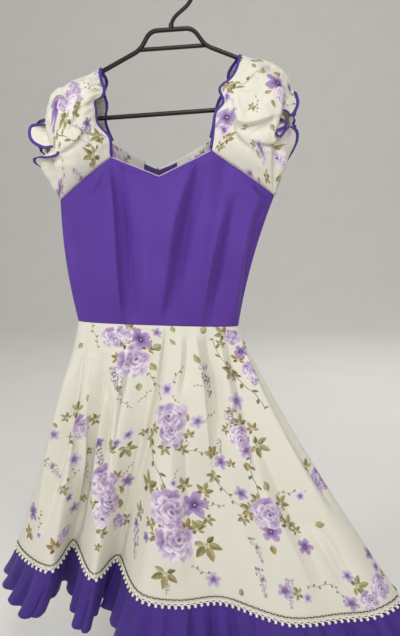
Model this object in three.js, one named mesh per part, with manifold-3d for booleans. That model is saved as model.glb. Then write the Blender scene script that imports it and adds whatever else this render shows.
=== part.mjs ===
// A flared dance dress on a tubular hanger: plain fitted bodice with a V neck, flowered puff sleeves
// gathered at neck and cuff, a flowered skirt with a lace edge, and a gathered flounce below it.
// Millimetres, +Z up, +X to the viewer's right, the front faces -Y.
// The origin is the top of the inside of the hanger's hook, where a rail carries it.
import * as THREE from "three";
import { mergeVertices } from "three/addons/utils/BufferGeometryUtils.js";
import Module from "manifold-3d";

const wasm = await Module();
wasm.setup();

// Driving sizes
const CLOTH = 1.4;
const BINDING = { thick: 1.8, width: 6, gap: 0.5 };
const SEAM_GAP = 0.3;
const TILT = THREE.MathUtils.degToRad(4); // the hanger's right end hangs higher

// Hanger, in its own level frame, with the hook's inside top at 0, 0
const HANGER = {
  tube: 4.2,
  hookTube: 3.6,
  centre: -12,
  topBar: { z: -89.5, half: 39, bend: 14 },
  crossBar: { z: -121, half: 59, bend: 12 },
  end: { z: -184, half: 198, bend: 24 },
  lowerBar: { z: -236 },
  hookRadius: 30,
  hookStart: THREE.MathUtils.degToRad(-38),
  hookTip: THREE.MathUtils.degToRad(195),
  neck: 21,
  steps: 58,
  sides: 8,
};

// Bodice: waist ring, underarms and necklines, seen from the front
const WAIST = { centre: -33, half: 151, deep: 41, z: -623.7, slope: -0.032, round: 2.6 };
const UNDERARM = { left: { x: -213, z: -396 }, right: { x: 183, z: -386 } };
const NECK_FRONT = { left: { x: -116, z: -319.5 }, centre: { x: -28, z: -355 }, right: { x: 67, z: -308 } };
const NECK_BACK = { left: { x: -120, z: -287 }, centre: { x: -32, z: -331 }, right: { x: 67, z: -282 } };
const NECK_CURVE = { front: 1.0, back: 1.6 };
const BODICE = { columns: 30, neckColumn: 9, topDeep: 34, swell: 17 };
const BODICE_LEVELS = [0, 0.12, 0.28, 0.45, 0.62, 0.78, 0.9, 1];
const SIDE_BOW = { left: -5, right: -7 };
// Soft folds that fall down the bodice: where each starts and ends, how wide and how deep
const BODICE_FOLDS = [
  { name: "left", side: "front", topX: -112, bottomX: -92, width: 13, deep: 5 },
  { name: "middle", side: "front", topX: 44, bottomX: -22, width: 14, deep: 6 },
  { name: "right", side: "front", topX: 92, bottomX: 50, width: 12, deep: 5 },
  { name: "ridge", side: "front", topX: -20, bottomX: -58, width: 18, deep: -3 },
  { name: "back_left", side: "back", topX: -90, bottomX: -86, width: 15, deep: 5 },
  { name: "back_right", side: "back", topX: 48, bottomX: 24, width: 15, deep: 5 },
];

// Skirt: where each fold comes at the hem, how long its cloth is, and how far out from it the
// flounce's edge hangs. share runs along the waist: left to right in front, right to left behind.
const HEM_FOLDS = [
  { name: "left_edge", side: "front", share: 0, x: -347, y: 118, length: 537, outX: -15, outY: 52 },
  { name: "lobe_one", side: "front", share: 0.13, x: -258, y: 20, length: 518, outX: -22, outY: -14 },
  { name: "valley_one", side: "front", share: 0.24, x: -222, y: 86, length: 503, outX: -6, outY: 0 },
  { name: "lobe_two", side: "front", share: 0.37, x: -166, y: -10, length: 514, outX: -8, outY: -22 },
  { name: "valley_two", side: "front", share: 0.5, x: -122, y: 50, length: 512, outX: -6, outY: 0 },
  { name: "lobe_three", side: "front", share: 0.57, x: -74, y: -44, length: 530, outX: -6, outY: -20 },
  { name: "broad_front", side: "front", share: 0.64, x: 0, y: -56, length: 536, outX: 0, outY: -20 },
  { name: "dip_three", side: "front", share: 0.72, x: 94, y: -42, length: 536, outX: 2, outY: -18 },
  { name: "lobe_four", side: "front", share: 0.8, x: 212, y: -92, length: 564, outX: 6, outY: -24 },
  { name: "dip_four", side: "front", share: 0.87, x: 312, y: -80, length: 586, outX: 6, outY: -18 },
  { name: "lobe_five", side: "front", share: 0.93, x: 376, y: -100, length: 592, outX: 14, outY: -24 },
  { name: "right_edge", side: "back", share: 0, x: 427, y: -58, length: 604, outX: 34, outY: -20 },
  { name: "back_one", side: "back", share: 0.12, x: 392, y: 34, length: 594, outX: 30, outY: 4 },
  { name: "back_valley_one", side: "back", share: 0.21, x: 318, y: 10, length: 575, outX: 16, outY: 8 },
  { name: "back_two", side: "back", share: 0.31, x: 282, y: 112, length: 575, outX: 14, outY: 22 },
  { name: "back_valley_two", side: "back", share: 0.41, x: 204, y: 72, length: 560, outX: 8, outY: 16 },
  { name: "back_three", side: "back", share: 0.5, x: 148, y: 164, length: 560, outX: 4, outY: 26 },
  { name: "back_valley_three", side: "back", share: 0.59, x: 70, y: 108, length: 550, outX: 2, outY: 18 },
  { name: "back_four", side: "back", share: 0.68, x: -2, y: 198, length: 556, outX: 0, outY: 26 },
  { name: "back_valley_four", side: "back", share: 0.77, x: -82, y: 134, length: 545, outX: -4, outY: 18 },
  { name: "back_five", side: "back", share: 0.86, x: -168, y: 220, length: 550, outX: -10, outY: 28 },
  { name: "back_valley_five", side: "back", share: 0.93, x: -244, y: 156, length: 540, outX: -14, outY: 22 },
];
const SKIRT = { columns: 96, flare: 1.15, laceBand: 14 };
const SKIRT_LEVELS = [0, 0.12, 0.27, 0.44, 0.62, 0.8];
const FLOUNCE = { length: 113, pitch: 38, samples: 5, wave: 8.5, uneven: 0.3 };
const LACE = { thick: 1.2, drop: 10, gap: 0.4, pitch: 16, splay: 3.2 };

// Sleeves. across runs from the neck edge, 0, to the cuff elastic, 1. lift is how far the ridge
// lies over the line of the hanger's arm, side is how far the front view bows out, belly is how
// far the cloth puffs forward, and turn is how far the front is drawn in towards the bodice.
const SLEEVE_LEFT = [
  { across: 0, peakX: -137, lift: 1.6, side: -14, belly: 10, turn: 0 },
  { across: 0.2, peakX: -157, lift: 2, side: -12, belly: 30, turn: 0 },
  { across: 0.4, peakX: -180, lift: 6, side: -12, belly: 42, turn: 3 },
  { across: 0.6, peakX: -204, lift: 5.5, side: -15, belly: 46, turn: 9 },
  { across: 0.8, peakX: -226, lift: -7, side: -18, belly: 43, turn: 16 },
  { across: 1, peakX: -238, lift: -31, side: -14, belly: 34, turn: 22 },
];
const SLEEVE_RIGHT = [
  { across: 0, peakX: 121, lift: 1.6, side: -3, belly: 10, turn: 0 },
  { across: 0.2, peakX: 141, lift: 3.2, side: 1, belly: 30, turn: 0 },
  { across: 0.4, peakX: 163, lift: 8.5, side: 6, belly: 44, turn: 3 },
  { across: 0.6, peakX: 185, lift: 7.5, side: 11, belly: 48, turn: 9 },
  { across: 0.8, peakX: 203, lift: -2, side: 13, belly: 45, turn: 17 },
  { across: 1, peakX: 213, lift: -21, side: 7, belly: 36, turn: 26 },
];
const SLEEVE = { arcs: 36, round: 2.4, lift: 0.6, neckRipple: 3.5, neckRipples: 11, backTurn: 0.25 };
const CUFF_FRILL = {
  width: 23,
  footWidth: 3,
  taper: 1.3,
  open: 0.9,
  drop: 1.2,
  columns: 3,
  wave: 10,
  waves: 7,
};
// Main folds on a sleeve, as ridges between two places (across, and up from 0 front to 1 back)
const SLEEVE_FOLDS = [
  { name: "pouch", side: "right", from: [0.15, 0.33], to: [0.75, 0.22], width: 0.07, height: 9 },
  { name: "shoulder", side: "right", from: [0.1, 0.42], to: [0.6, 0.46], width: 0.06, height: -5 },
  { name: "cuff", side: "right", from: [0.9, 0.14], to: [0.3, 0.08], width: 0.05, height: 6 },
  { name: "neck", side: "left", from: [0.05, 0.3], to: [0.7, 0.36], width: 0.06, height: 7 },
  { name: "under", side: "left", from: [0.15, 0.12], to: [0.85, 0.2], width: 0.06, height: -6 },
  { name: "cuff", side: "left", from: [0.95, 0.28], to: [0.45, 0.22], width: 0.05, height: 6 },
  { name: "back_left", side: "left", from: [0.1, 0.72], to: [0.9, 0.8], width: 0.07, height: 7 },
  { name: "back_right", side: "right", from: [0.1, 0.72], to: [0.9, 0.8], width: 0.07, height: 7 },
];

const FACING = { thick: 1.0 };
const NECK_EDGE = { tall: 2.2, thick: 1.6 };
const LABEL = { reach: 2, tall: 17, thick: 0.8, below: 4 };

// Colours of cloth, lace, thread and plastic
const PURPLE = { color: 0x55329f, roughness: 0.75, metalness: 0 };
const FLOWERED = { color: 0xe4e2d4, roughness: 0.8, metalness: 0 };
const LACE_CREAM = { color: 0xe9e6d8, roughness: 0.85, metalness: 0 };
const BLACK_PLASTIC = { color: 0x14110f, roughness: 0.35, metalness: 0 };
const LABEL_DARK = { color: 0x2f2350, roughness: 0.7, metalness: 0 };

const lerp = THREE.MathUtils.lerp;
const smooth = THREE.MathUtils.smoothstep;

function vec(x, y, z) {
  return new THREE.Vector3(x, y, z);
}

// Smooth curve through table rows, with uneven spacing. period closes the curve on itself.
function spline(rows, at, key, t, period) {
  const n = rows.length;
  const place = (i) => {
    const turn = Math.floor(i / n);
    return rows[i - turn * n][at] + (period ? turn * period : 0);
  };
  const index = (i) => (period ? ((i % n) + n) % n : Math.min(Math.max(i, 0), n - 1));
  const last = period ? n - 1 : n - 2;
  let i = 0;
  while (i < last && t > place(i + 1)) i += 1;
  const slope = (k) => {
    if (!period && (k <= 0 || k >= n - 1)) {
      const a = k <= 0 ? 0 : n - 2;
      return (rows[a + 1][key] - rows[a][key]) / (place(a + 1) - place(a));
    }
    return (rows[index(k + 1)][key] - rows[index(k - 1)][key]) / (place(k + 1) - place(k - 1));
  };
  const span = place(i + 1) - place(i);
  const f = (t - place(i)) / span;
  const a = rows[index(i)][key];
  const b = rows[index(i + 1)][key];
  return (
    (2 * f ** 3 - 3 * f ** 2 + 1) * a +
    (f ** 3 - 2 * f ** 2 + f) * span * slope(i) +
    (-2 * f ** 3 + 3 * f ** 2) * b +
    (f ** 3 - f ** 2) * span * slope(i + 1)
  );
}

// Normals of a grid of points, found from their neighbours
function gridNormals(points, wrap, sign) {
  const rows = points.length;
  const cols = points[0].length;
  return points.map((line, r) =>
    line.map((_, c) => {
      const left = wrap ? (c + cols - 1) % cols : Math.max(c - 1, 0);
      const right = wrap ? (c + 1) % cols : Math.min(c + 1, cols - 1);
      const along = points[r][right].clone().sub(points[r][left]);
      const down = points[Math.min(r + 1, rows - 1)][c].clone().sub(points[Math.max(r - 1, 0)][c]);
      return along.cross(down).normalize().multiplyScalar(sign);
    }),
  );
}

function moveAlong(grid, amount) {
  const points = grid.points.map((line, r) =>
    line.map((p, c) => p.clone().addScaledVector(grid.normals[r][c], amount(r, c))),
  );
  return points;
}

function part(grid, rowFrom, rowTo, columns) {
  return {
    points: grid.points.slice(rowFrom, rowTo + 1).map((line) => columns.map((c) => line[c].clone())),
    normals: grid.normals.slice(rowFrom, rowTo + 1).map((line) => columns.map((c) => line[c].clone())),
  };
}

// Draws the first and last columns of a panel in, so that two panels keep a gap at their seam
function drawInSides(grid, amount) {
  for (const line of grid.points) {
    const n = line.length;
    const first = line[1].clone().sub(line[0]).setLength(amount);
    const last = line[n - 2].clone().sub(line[n - 1]).setLength(amount);
    line[0].add(first);
    line[n - 1].add(last);
  }
  return grid;
}

// A closed wall of cloth round a grid of middle points. Facing edges are split along the same
// diagonal, so that two walls that meet at a twisted seam keep their gap.
function clothWall(grid, thick, offset = 0) {
  const rows = grid.points.length;
  const cols = grid.points[0].length;
  const position = [];
  for (const face of [1, -1])
    for (let r = 0; r < rows; r++)
      for (let c = 0; c < cols; c++) {
        const p = grid.points[r][c].clone();
        p.addScaledVector(grid.normals[r][c], offset + (face * thick) / 2);
        position.push(p.x, p.y, p.z);
      }
  const at = (face, r, c) => face * rows * cols + r * cols + c;
  const index = [];
  const quad = (a, b, c, d) => index.push(a, b, c, a, c, d);
  for (let r = 0; r < rows - 1; r++)
    for (let c = 0; c < cols - 1; c++) {
      quad(at(0, r, c), at(0, r + 1, c), at(0, r + 1, c + 1), at(0, r, c + 1));
      quad(at(1, r, c + 1), at(1, r + 1, c + 1), at(1, r + 1, c), at(1, r, c));
    }
  for (let c = 0; c < cols - 1; c++) {
    quad(at(0, 0, c), at(0, 0, c + 1), at(1, 0, c + 1), at(1, 0, c));
    quad(at(0, rows - 1, c), at(1, rows - 1, c), at(1, rows - 1, c + 1), at(0, rows - 1, c + 1));
  }
  for (let r = 0; r < rows - 1; r++) {
    quad(at(0, r, 0), at(1, r, 0), at(1, r + 1, 0), at(0, r + 1, 0));
    quad(at(0, r, cols - 1), at(0, r + 1, cols - 1), at(1, r + 1, cols - 1), at(1, r, cols - 1));
  }
  return closedGeometry(position, index);
}

// Turns the faces round where the volume comes out negative
function closedGeometry(position, index) {
  let volume = 0;
  const p = (i) => vec(position[3 * i], position[3 * i + 1], position[3 * i + 2]);
  for (let i = 0; i < index.length; i += 3)
    volume += p(index[i]).dot(p(index[i + 1]).cross(p(index[i + 2])));
  for (let i = 0; volume < 0 && i < index.length; i += 3)
    [index[i], index[i + 1]] = [index[i + 1], index[i]];
  const geometry = new THREE.BufferGeometry();
  geometry.setAttribute("position", new THREE.Float32BufferAttribute(position, 3));
  geometry.setIndex(index);
  return geometry;
}

function piece(name, geometry, look) {
  geometry.computeVertexNormals();
  const mesh = new THREE.Mesh(geometry, new THREE.MeshStandardMaterial(look));
  mesh.name = name;
  return mesh;
}

function solidOf(geometry) {
  const bare = geometry.clone();
  bare.deleteAttribute("normal");
  bare.deleteAttribute("uv");
  const merged = mergeVertices(bare, 1e-4);
  return new wasm.Manifold(
    new wasm.Mesh({
      numProp: 3,
      vertProperties: new Float32Array(merged.attributes.position.array),
      triVerts: new Uint32Array(merged.index.array),
    }),
  );
}

function geometryOf(solid) {
  const mesh = solid.getMesh();
  return closedGeometry(Array.from(mesh.vertProperties), Array.from(mesh.triVerts));
}

// Round tube along points that lie in the XZ plane
function flatTube(points, radius, sides, closed) {
  const n = points.length;
  const position = [];
  const index = [];
  points.forEach((p, i) => {
    const before = points[closed ? (i + n - 1) % n : Math.max(i - 1, 0)];
    const after = points[closed ? (i + 1) % n : Math.min(i + 1, n - 1)];
    const along = after.clone().sub(before).normalize();
    const out = vec(along.z, 0, -along.x);
    for (let k = 0; k < sides; k++) {
      const turn = ((k + 0.5) / sides) * 2 * Math.PI;
      const q = p.clone().addScaledVector(out, radius * Math.cos(turn));
      position.push(q.x, q.y + radius * Math.sin(turn), q.z);
    }
  });
  const rings = closed ? n : n - 1;
  for (let i = 0; i < rings; i++)
    for (let k = 0; k < sides; k++) {
      const a = i * sides + k;
      const b = i * sides + ((k + 1) % sides);
      const c = ((i + 1) % n) * sides + ((k + 1) % sides);
      const d = ((i + 1) % n) * sides + k;
      index.push(a, b, c, a, c, d);
    }
  if (!closed)
    for (let k = 1; k < sides - 1; k++) {
      index.push(0, k + 1, k);
      const end = (n - 1) * sides;
      index.push(end, end + k, end + k + 1);
    }
  return closedGeometry(position, index);
}

// Path through corners with rounded bends, as spaced points. Each corner is x, z, bend.
function roundedPath(corners, closed, steps) {
  const path = new THREE.CurvePath();
  const n = corners.length;
  const spot = (i) => vec(corners[(i + n) % n].x, 0, corners[(i + n) % n].z);
  const cut = (i, toward) => spot(i).add(spot(toward).sub(spot(i)).setLength(corners[(i + n) % n].bend));
  const first = closed ? 0 : 1;
  const last = closed ? n : n - 1;
  let from = closed ? cut(-1, 0) : spot(0);
  for (let i = first; i < last; i++) {
    path.add(new THREE.LineCurve3(from, cut(i, i - 1)));
    path.add(new THREE.QuadraticBezierCurve3(cut(i, i - 1), spot(i), cut(i, i + 1)));
    from = cut(i, i + 1);
  }
  if (!closed) path.add(new THREE.LineCurve3(from, spot(n - 1)));
  const points = path.getSpacedPoints(steps);
  if (closed) points.pop();
  return points;
}

// Superellipse depth, 1 in the middle and 0 at the side seams
function roundness(across, power) {
  return Math.max(0, 1 - Math.abs(across) ** power) ** (1 / power);
}

function waistPoint(share, back) {
  const across = -Math.cos(Math.PI * share);
  const x = WAIST.centre + WAIST.half * across;
  const y = WAIST.deep * roundness(across, WAIST.round) * (back ? 1 : -1);
  return vec(x, y, WAIST.z + WAIST.slope * (x - WAIST.centre));
}

// Top edge of the bodice at a share of the way from the left side seam to the right
function topEdge(share, back) {
  const neck = back ? NECK_BACK : NECK_FRONT;
  const curve = back ? NECK_CURVE.back : NECK_CURVE.front;
  const corner = -Math.cos((Math.PI * BODICE.neckColumn) / BODICE.columns);
  const across = -Math.cos(Math.PI * share);
  const side = across < 0 ? "left" : "right";
  const reach = Math.abs(across) / Math.abs(corner);
  if (reach > 1) {
    const f = (1 - Math.abs(across)) / (1 - Math.abs(corner));
    const under = UNDERARM[side];
    return { x: lerp(under.x, neck[side].x, f), z: lerp(under.z, neck[side].z, f) };
  }
  return {
    x: lerp(neck.centre.x, neck[side].x, reach),
    z: lerp(neck.centre.z, neck[side].z, reach ** curve),
  };
}

function bodicePoint(share, level, back) {
  const across = -Math.cos(Math.PI * share);
  const low = waistPoint(share, back);
  const top = topEdge(share, back);
  const bow = across < 0 ? SIDE_BOW.left : SIDE_BOW.right;
  const x = lerp(low.x, top.x, level) + bow * 4 * level * (1 - level) * Math.abs(across) ** 3;
  const z = lerp(low.z, top.z, level);
  const deep = lerp(WAIST.deep, BODICE.topDeep, level) + BODICE.swell * Math.sin(Math.PI * level);
  let y = deep * roundness(across, WAIST.round);
  const body = smooth(level, 0, 0.15) * (1 - across ** 6);
  for (const fold of BODICE_FOLDS) {
    if ((fold.side === "back") !== back) continue;
    const away = (x - lerp(fold.bottomX, fold.topX, level)) / fold.width;
    y -= fold.deep * body * Math.exp(-away * away);
  }
  return vec(x, back ? y : -y, z);
}

// Runs round a closed ring: the front from left to right, then the back from right to left
function aroundRing(columns, point) {
  const line = [];
  for (let c = 0; c < columns; c++) line.push(point(c / columns, false));
  for (let c = 0; c < columns; c++) line.push(point(1 - c / columns, true));
  return line;
}

function flatten(normals) {
  for (const n of normals) {
    n.z = 0;
    n.normalize();
  }
}

function bodiceGrid() {
  const points = BODICE_LEVELS.map((level) =>
    aroundRing(BODICE.columns, (share, back) => bodicePoint(share, level, back)),
  );
  const grid = { points, normals: gridNormals(points, true, 1) };
  flatten(grid.normals[0]);
  return grid;
}

const bodice = bodiceGrid();
const BODICE_TOP = BODICE_LEVELS.length - 1;

function bodiceColumns(from, to) {
  return Array.from({ length: to - from + 1 }, (_, i) => (from + i) % (2 * BODICE.columns));
}

const frontColumns = bodiceColumns(0, BODICE.columns);
const backColumns = bodiceColumns(BODICE.columns, 2 * BODICE.columns);

function bodicePanel(name, columns) {
  const grid = drawInSides(part(bodice, 0, BODICE_TOP, columns), SEAM_GAP / 2);
  return piece(name, clothWall(grid, CLOTH), PURPLE);
}

// The band that faces the back neck, one level deep, inside the back panel.
function neckFacing() {
  const from = 2 * BODICE.columns - (BODICE.columns - BODICE.neckColumn);
  const columns = bodiceColumns(from, from + BODICE.columns - 2 * BODICE.neckColumn);
  const grid = drawInSides(part(bodice, BODICE_TOP - 1, BODICE_TOP, columns), 1);
  const depth = (CLOTH + FACING.thick) / 2 + SEAM_GAP;
  return piece("back_neck_facing", clothWall(grid, FACING.thick, -depth), FLOWERED);
}

// The rolled edge of the front facing, which shows as a thin line over the neckline
function neckEdge() {
  const columns = bodiceColumns(BODICE.neckColumn, BODICE.columns - BODICE.neckColumn);
  const top = part(bodice, BODICE_TOP, BODICE_TOP, columns);
  const raised = (up) => top.points[0].map((p) => p.clone().add(vec(0, 0, up)));
  const grid = {
    points: [raised(SEAM_GAP + 0.1), raised(SEAM_GAP + NECK_EDGE.tall)],
    normals: [top.normals[0], top.normals[0]],
  };
  drawInSides(grid, 1.5);
  return piece("front_neck_edge", clothWall(grid, NECK_EDGE.thick), FLOWERED);
}

// A blank label on the facing, at the middle of the back, just under the neckline
function label() {
  const middle = 1.5 * BODICE.columns;
  const columns = bodiceColumns(middle - LABEL.reach, middle + LABEL.reach);
  const band = part(bodice, BODICE_TOP - 1, BODICE_TOP, columns);
  const [low, high] = band.points;
  const under = (far) => high.map((p, c) => p.clone().add(low[c].clone().sub(p).setLength(far)));
  const grid = {
    points: [under(LABEL.below + LABEL.tall), under(LABEL.below)],
    normals: [band.normals[1], band.normals[1]],
  };
  const depth = CLOTH / 2 + FACING.thick + LABEL.thick / 2 + 2 * SEAM_GAP;
  return piece("label", clothWall(grid, LABEL.thick, -depth), LABEL_DARK);
}

// Skirt
const hemRows = HEM_FOLDS.map((row) => ({
  ...row,
  t: (row.share + (row.side === "back" ? 1 : 0)) / 2,
}));

function hemPoint(t) {
  const back = t > 0.5;
  const waist = waistPoint(back ? 2 - 2 * t : 2 * t, back);
  const x = spline(hemRows, "t", "x", t, 1);
  const y = spline(hemRows, "t", "y", t, 1);
  const length = spline(hemRows, "t", "length", t, 1);
  const fall = Math.sqrt(length ** 2 - (x - waist.x) ** 2 - (y - waist.y) ** 2);
  return { waist, hem: vec(x, y, waist.z - fall), length };
}

function skirtPoint(t, level) {
  const { waist, hem } = hemPoint(t);
  const out = level ** SKIRT.flare;
  return vec(lerp(waist.x, hem.x, out), lerp(waist.y, hem.y, out), lerp(waist.z, hem.z, level) - SEAM_GAP);
}

function skirtGrid() {
  const lines = [...SKIRT_LEVELS, null, 1].map((level) => {
    const line = [];
    for (let c = 0; c < SKIRT.columns; c++) {
      const t = c / SKIRT.columns;
      line.push(skirtPoint(t, level ?? 1 - SKIRT.laceBand / hemPoint(t).length));
    }
    return line;
  });
  const grid = { points: lines, normals: gridNormals(lines, true, -1) };
  flatten(grid.normals[0]);
  return grid;
}

const skirt = skirtGrid();
const SKIRT_HEM = skirt.points.length - 1;
const HALF = SKIRT.columns / 2;

function skirtColumns(from, to) {
  return Array.from({ length: to - from + 1 }, (_, i) => (from + i) % SKIRT.columns);
}

function skirtPanel(name, from, to) {
  const grid = drawInSides(part(skirt, 0, SKIRT_HEM, skirtColumns(from, to)), SEAM_GAP / 2);
  return piece(name, clothWall(grid, CLOTH), FLOWERED);
}

function flareAt(t) {
  return vec(spline(hemRows, "t", "outX", t, 1), spline(hemRows, "t", "outY", t, 1), 0);
}

// Places along the hem between two columns. Every skirt column is one of them, and each stretch
// between two columns is cut into about even steps, in multiples of the given number.
function alongHem(from, to, step, multiple) {
  const columns = skirtColumns(from, to);
  const places = [];
  let distance = 0;
  for (let i = 0; i < columns.length - 1; i++) {
    const mix = (source, row, f) => source[row][columns[i]].clone().lerp(source[row][columns[i + 1]], f);
    const long = mix(skirt.points, SKIRT_HEM, 0).distanceTo(mix(skirt.points, SKIRT_HEM, 1));
    const parts = multiple * Math.max(1, Math.round(long / (step * multiple)));
    const final = i === columns.length - 2 ? 1 : 0;
    for (let k = 0; k < parts + final; k++) {
      const band = mix(skirt.points, SKIRT_HEM - 1, k / parts);
      const hem = mix(skirt.points, SKIRT_HEM, k / parts);
      places.push({
        band,
        hem,
        bandNormal: mix(skirt.normals, SKIRT_HEM - 1, k / parts),
        normal: mix(skirt.normals, SKIRT_HEM, k / parts),
        out: flareAt((from + i + k / parts) / SKIRT.columns),
        fall: hem.clone().sub(band).normalize(),
        distance: distance + (long * k) / parts,
      });
    }
    distance += long;
  }
  return places;
}

function flouncePanel(name, from, to) {
  const places = alongHem(from, to, FLOUNCE.pitch / FLOUNCE.samples, 1);
  const total = places[places.length - 1].distance;
  const line = (level) =>
    places.map(({ hem, fall, normal, out, distance }) => {
      const turn = (distance / FLOUNCE.pitch) * 2 * Math.PI + 0.7 * Math.sin(distance / 61);
      const height = 1 + FLOUNCE.uneven * Math.sin(distance / 47 + from);
      const ends = Math.min(1, distance / FLOUNCE.pitch, (total - distance) / FLOUNCE.pitch);
      const drop = Math.sqrt(FLOUNCE.length ** 2 - out.lengthSq());
      const point = hem.clone().addScaledVector(fall, SEAM_GAP + level * drop);
      point.addScaledVector(out, level ** 1.6);
      return point.addScaledVector(normal, FLOUNCE.wave * level * height * Math.sin(turn) * ends);
    });
  const points = [line(0), line(0.45), line(1)];
  const normals = gridNormals(points, false, -1);
  normals[0] = places.map((place) => place.normal.clone());
  for (const row of normals) {
    row[0].copy(places[0].normal);
    row[row.length - 1].copy(places[places.length - 1].normal);
  }
  return piece(name, clothWall(drawInSides({ points, normals }, SEAM_GAP / 2), CLOTH), PURPLE);
}

// Lace strip over the hem, with a row of small points along its lower edge
function laceStrip(name, from, to) {
  const places = alongHem(from, to, LACE.pitch / 2, 2);
  const edge = places.map(({ hem, fall, normal }, k) => {
    const tip = k % 2;
    return hem.clone().addScaledVector(fall, tip * LACE.drop).addScaledVector(normal, tip * LACE.splay);
  });
  const grid = {
    points: [places.map((place) => place.band.clone()), edge],
    normals: [places.map((place) => place.bandNormal), places.map((place) => place.normal)],
  };
  drawInSides(grid, SEAM_GAP / 2);
  return piece(name, clothWall(grid, LACE.thick, (CLOTH + LACE.thick) / 2 + LACE.gap), LACE_CREAM);
}

// Hanger
function tilted(x, z) {
  return { x: x * Math.cos(TILT) - z * Math.sin(TILT), z: x * Math.sin(TILT) + z * Math.cos(TILT) };
}

// Height of the top of the hanger's arm, carried on in a straight line past its ends
function armTop(x, side) {
  const sign = side === "left" ? -1 : 1;
  const inner = tilted(HANGER.centre + sign * HANGER.crossBar.half, HANGER.crossBar.z);
  const outer = tilted(HANGER.centre + sign * HANGER.end.half, HANGER.end.z);
  const slope = (outer.z - inner.z) / (outer.x - inner.x);
  return inner.z + slope * (x - inner.x) + HANGER.tube * Math.hypot(1, slope);
}

function hangerFrame() {
  const { centre, topBar, crossBar, end, lowerBar } = HANGER;
  const right = [
    { x: topBar.half, z: topBar.z, bend: topBar.bend },
    { x: crossBar.half, z: crossBar.z, bend: crossBar.bend },
    { x: end.half, z: end.z, bend: end.bend },
    { x: end.half, z: lowerBar.z, bend: end.bend },
  ];
  const left = right.map((corner) => ({ ...corner, x: -corner.x })).reverse();
  const corners = [...right, ...left].map((corner) => ({ ...corner, x: corner.x + centre }));
  const loop = flatTube(roundedPath(corners, true, HANGER.steps), HANGER.tube, HANGER.sides, true);
  const bar = flatTube(
    [vec(centre - crossBar.half, 0, crossBar.z), vec(centre + crossBar.half, 0, crossBar.z)],
    HANGER.tube * 0.9,
    HANGER.sides,
    false,
  );
  return piece("hanger_frame", geometryOf(solidOf(loop).add(solidOf(bar))), BLACK_PLASTIC);
}

function hangerHook() {
  const { hookRadius, hookTube, topBar, tube, centre } = HANGER;
  const middle = -(hookRadius - hookTube);
  const foot = topBar.z + tube + SEAM_GAP;
  const start = HANGER.hookStart;
  const onCircle = (angle) => vec(hookRadius * Math.cos(angle), 0, middle + hookRadius * Math.sin(angle));
  const path = new THREE.CurvePath();
  const joins = onCircle(start);
  const lead = vec(Math.sin(start), 0, -Math.cos(start)).multiplyScalar(HANGER.neck);
  const rise = vec(centre, 0, foot + HANGER.neck);
  path.add(new THREE.CubicBezierCurve3(vec(centre, 0, foot), rise, joins.clone().add(lead), joins));
  const stem = path.getSpacedPoints(9);
  const turns = 18;
  for (let i = 1; i <= turns; i++) stem.push(onCircle(lerp(start, HANGER.hookTip, i / turns)));
  return piece("hanger_hook", flatTube(stem, hookTube, HANGER.sides, false), BLACK_PLASTIC);
}

// Sleeves
function sleeveSection(rows, side, across, foot, backFoot, arc) {
  const sign = side === "left" ? -1 : 1;
  const angle = Math.PI * arc;
  const rise = Math.sin(angle) ** (2 / SLEEVE.round);
  const stay = Math.abs(Math.cos(angle)) ** (2 / SLEEVE.round);
  const peakX = spline(rows, "across", "peakX", across);
  const peakZ = armTop(peakX, side) + spline(rows, "across", "lift", across);
  const front = arc <= 0.5;
  const from = front ? foot : backFoot;
  const bulge = Math.max(0, Math.sin(Math.PI * rise));
  const turn = spline(rows, "across", "turn", across) * (front ? -1 : SLEEVE.backTurn) * sign;
  const ripple = SLEEVE.neckRipple * Math.max(0, 1 - across / 0.3) * Math.sin(2 * angle * SLEEVE.neckRipples);
  const x = lerp(from.x, peakX, rise) + (spline(rows, "across", "side", across) + turn) * bulge;
  const belly = spline(rows, "across", "belly", across) * bulge ** 0.8;
  const y = from.y * stay + (front ? -belly : belly);
  return vec(x + ripple * bulge, y, lerp(from.z, peakZ, rise));
}

function foldHeight(side, across, arc) {
  let height = 0;
  for (const fold of SLEEVE_FOLDS) {
    if (fold.side !== side) continue;
    const [x0, y0] = fold.from;
    const dx = fold.to[0] - x0;
    const dy = fold.to[1] - y0;
    const f = THREE.MathUtils.clamp(((across - x0) * dx + (arc - y0) * dy) / (dx * dx + dy * dy), 0, 1);
    const away = Math.hypot((across - x0 - f * dx) * 0.6, arc - y0 - f * dy) / fold.width;
    height += fold.height * Math.exp(-away * away) * Math.sin(Math.PI * arc) ** 0.6;
  }
  return height;
}

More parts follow.
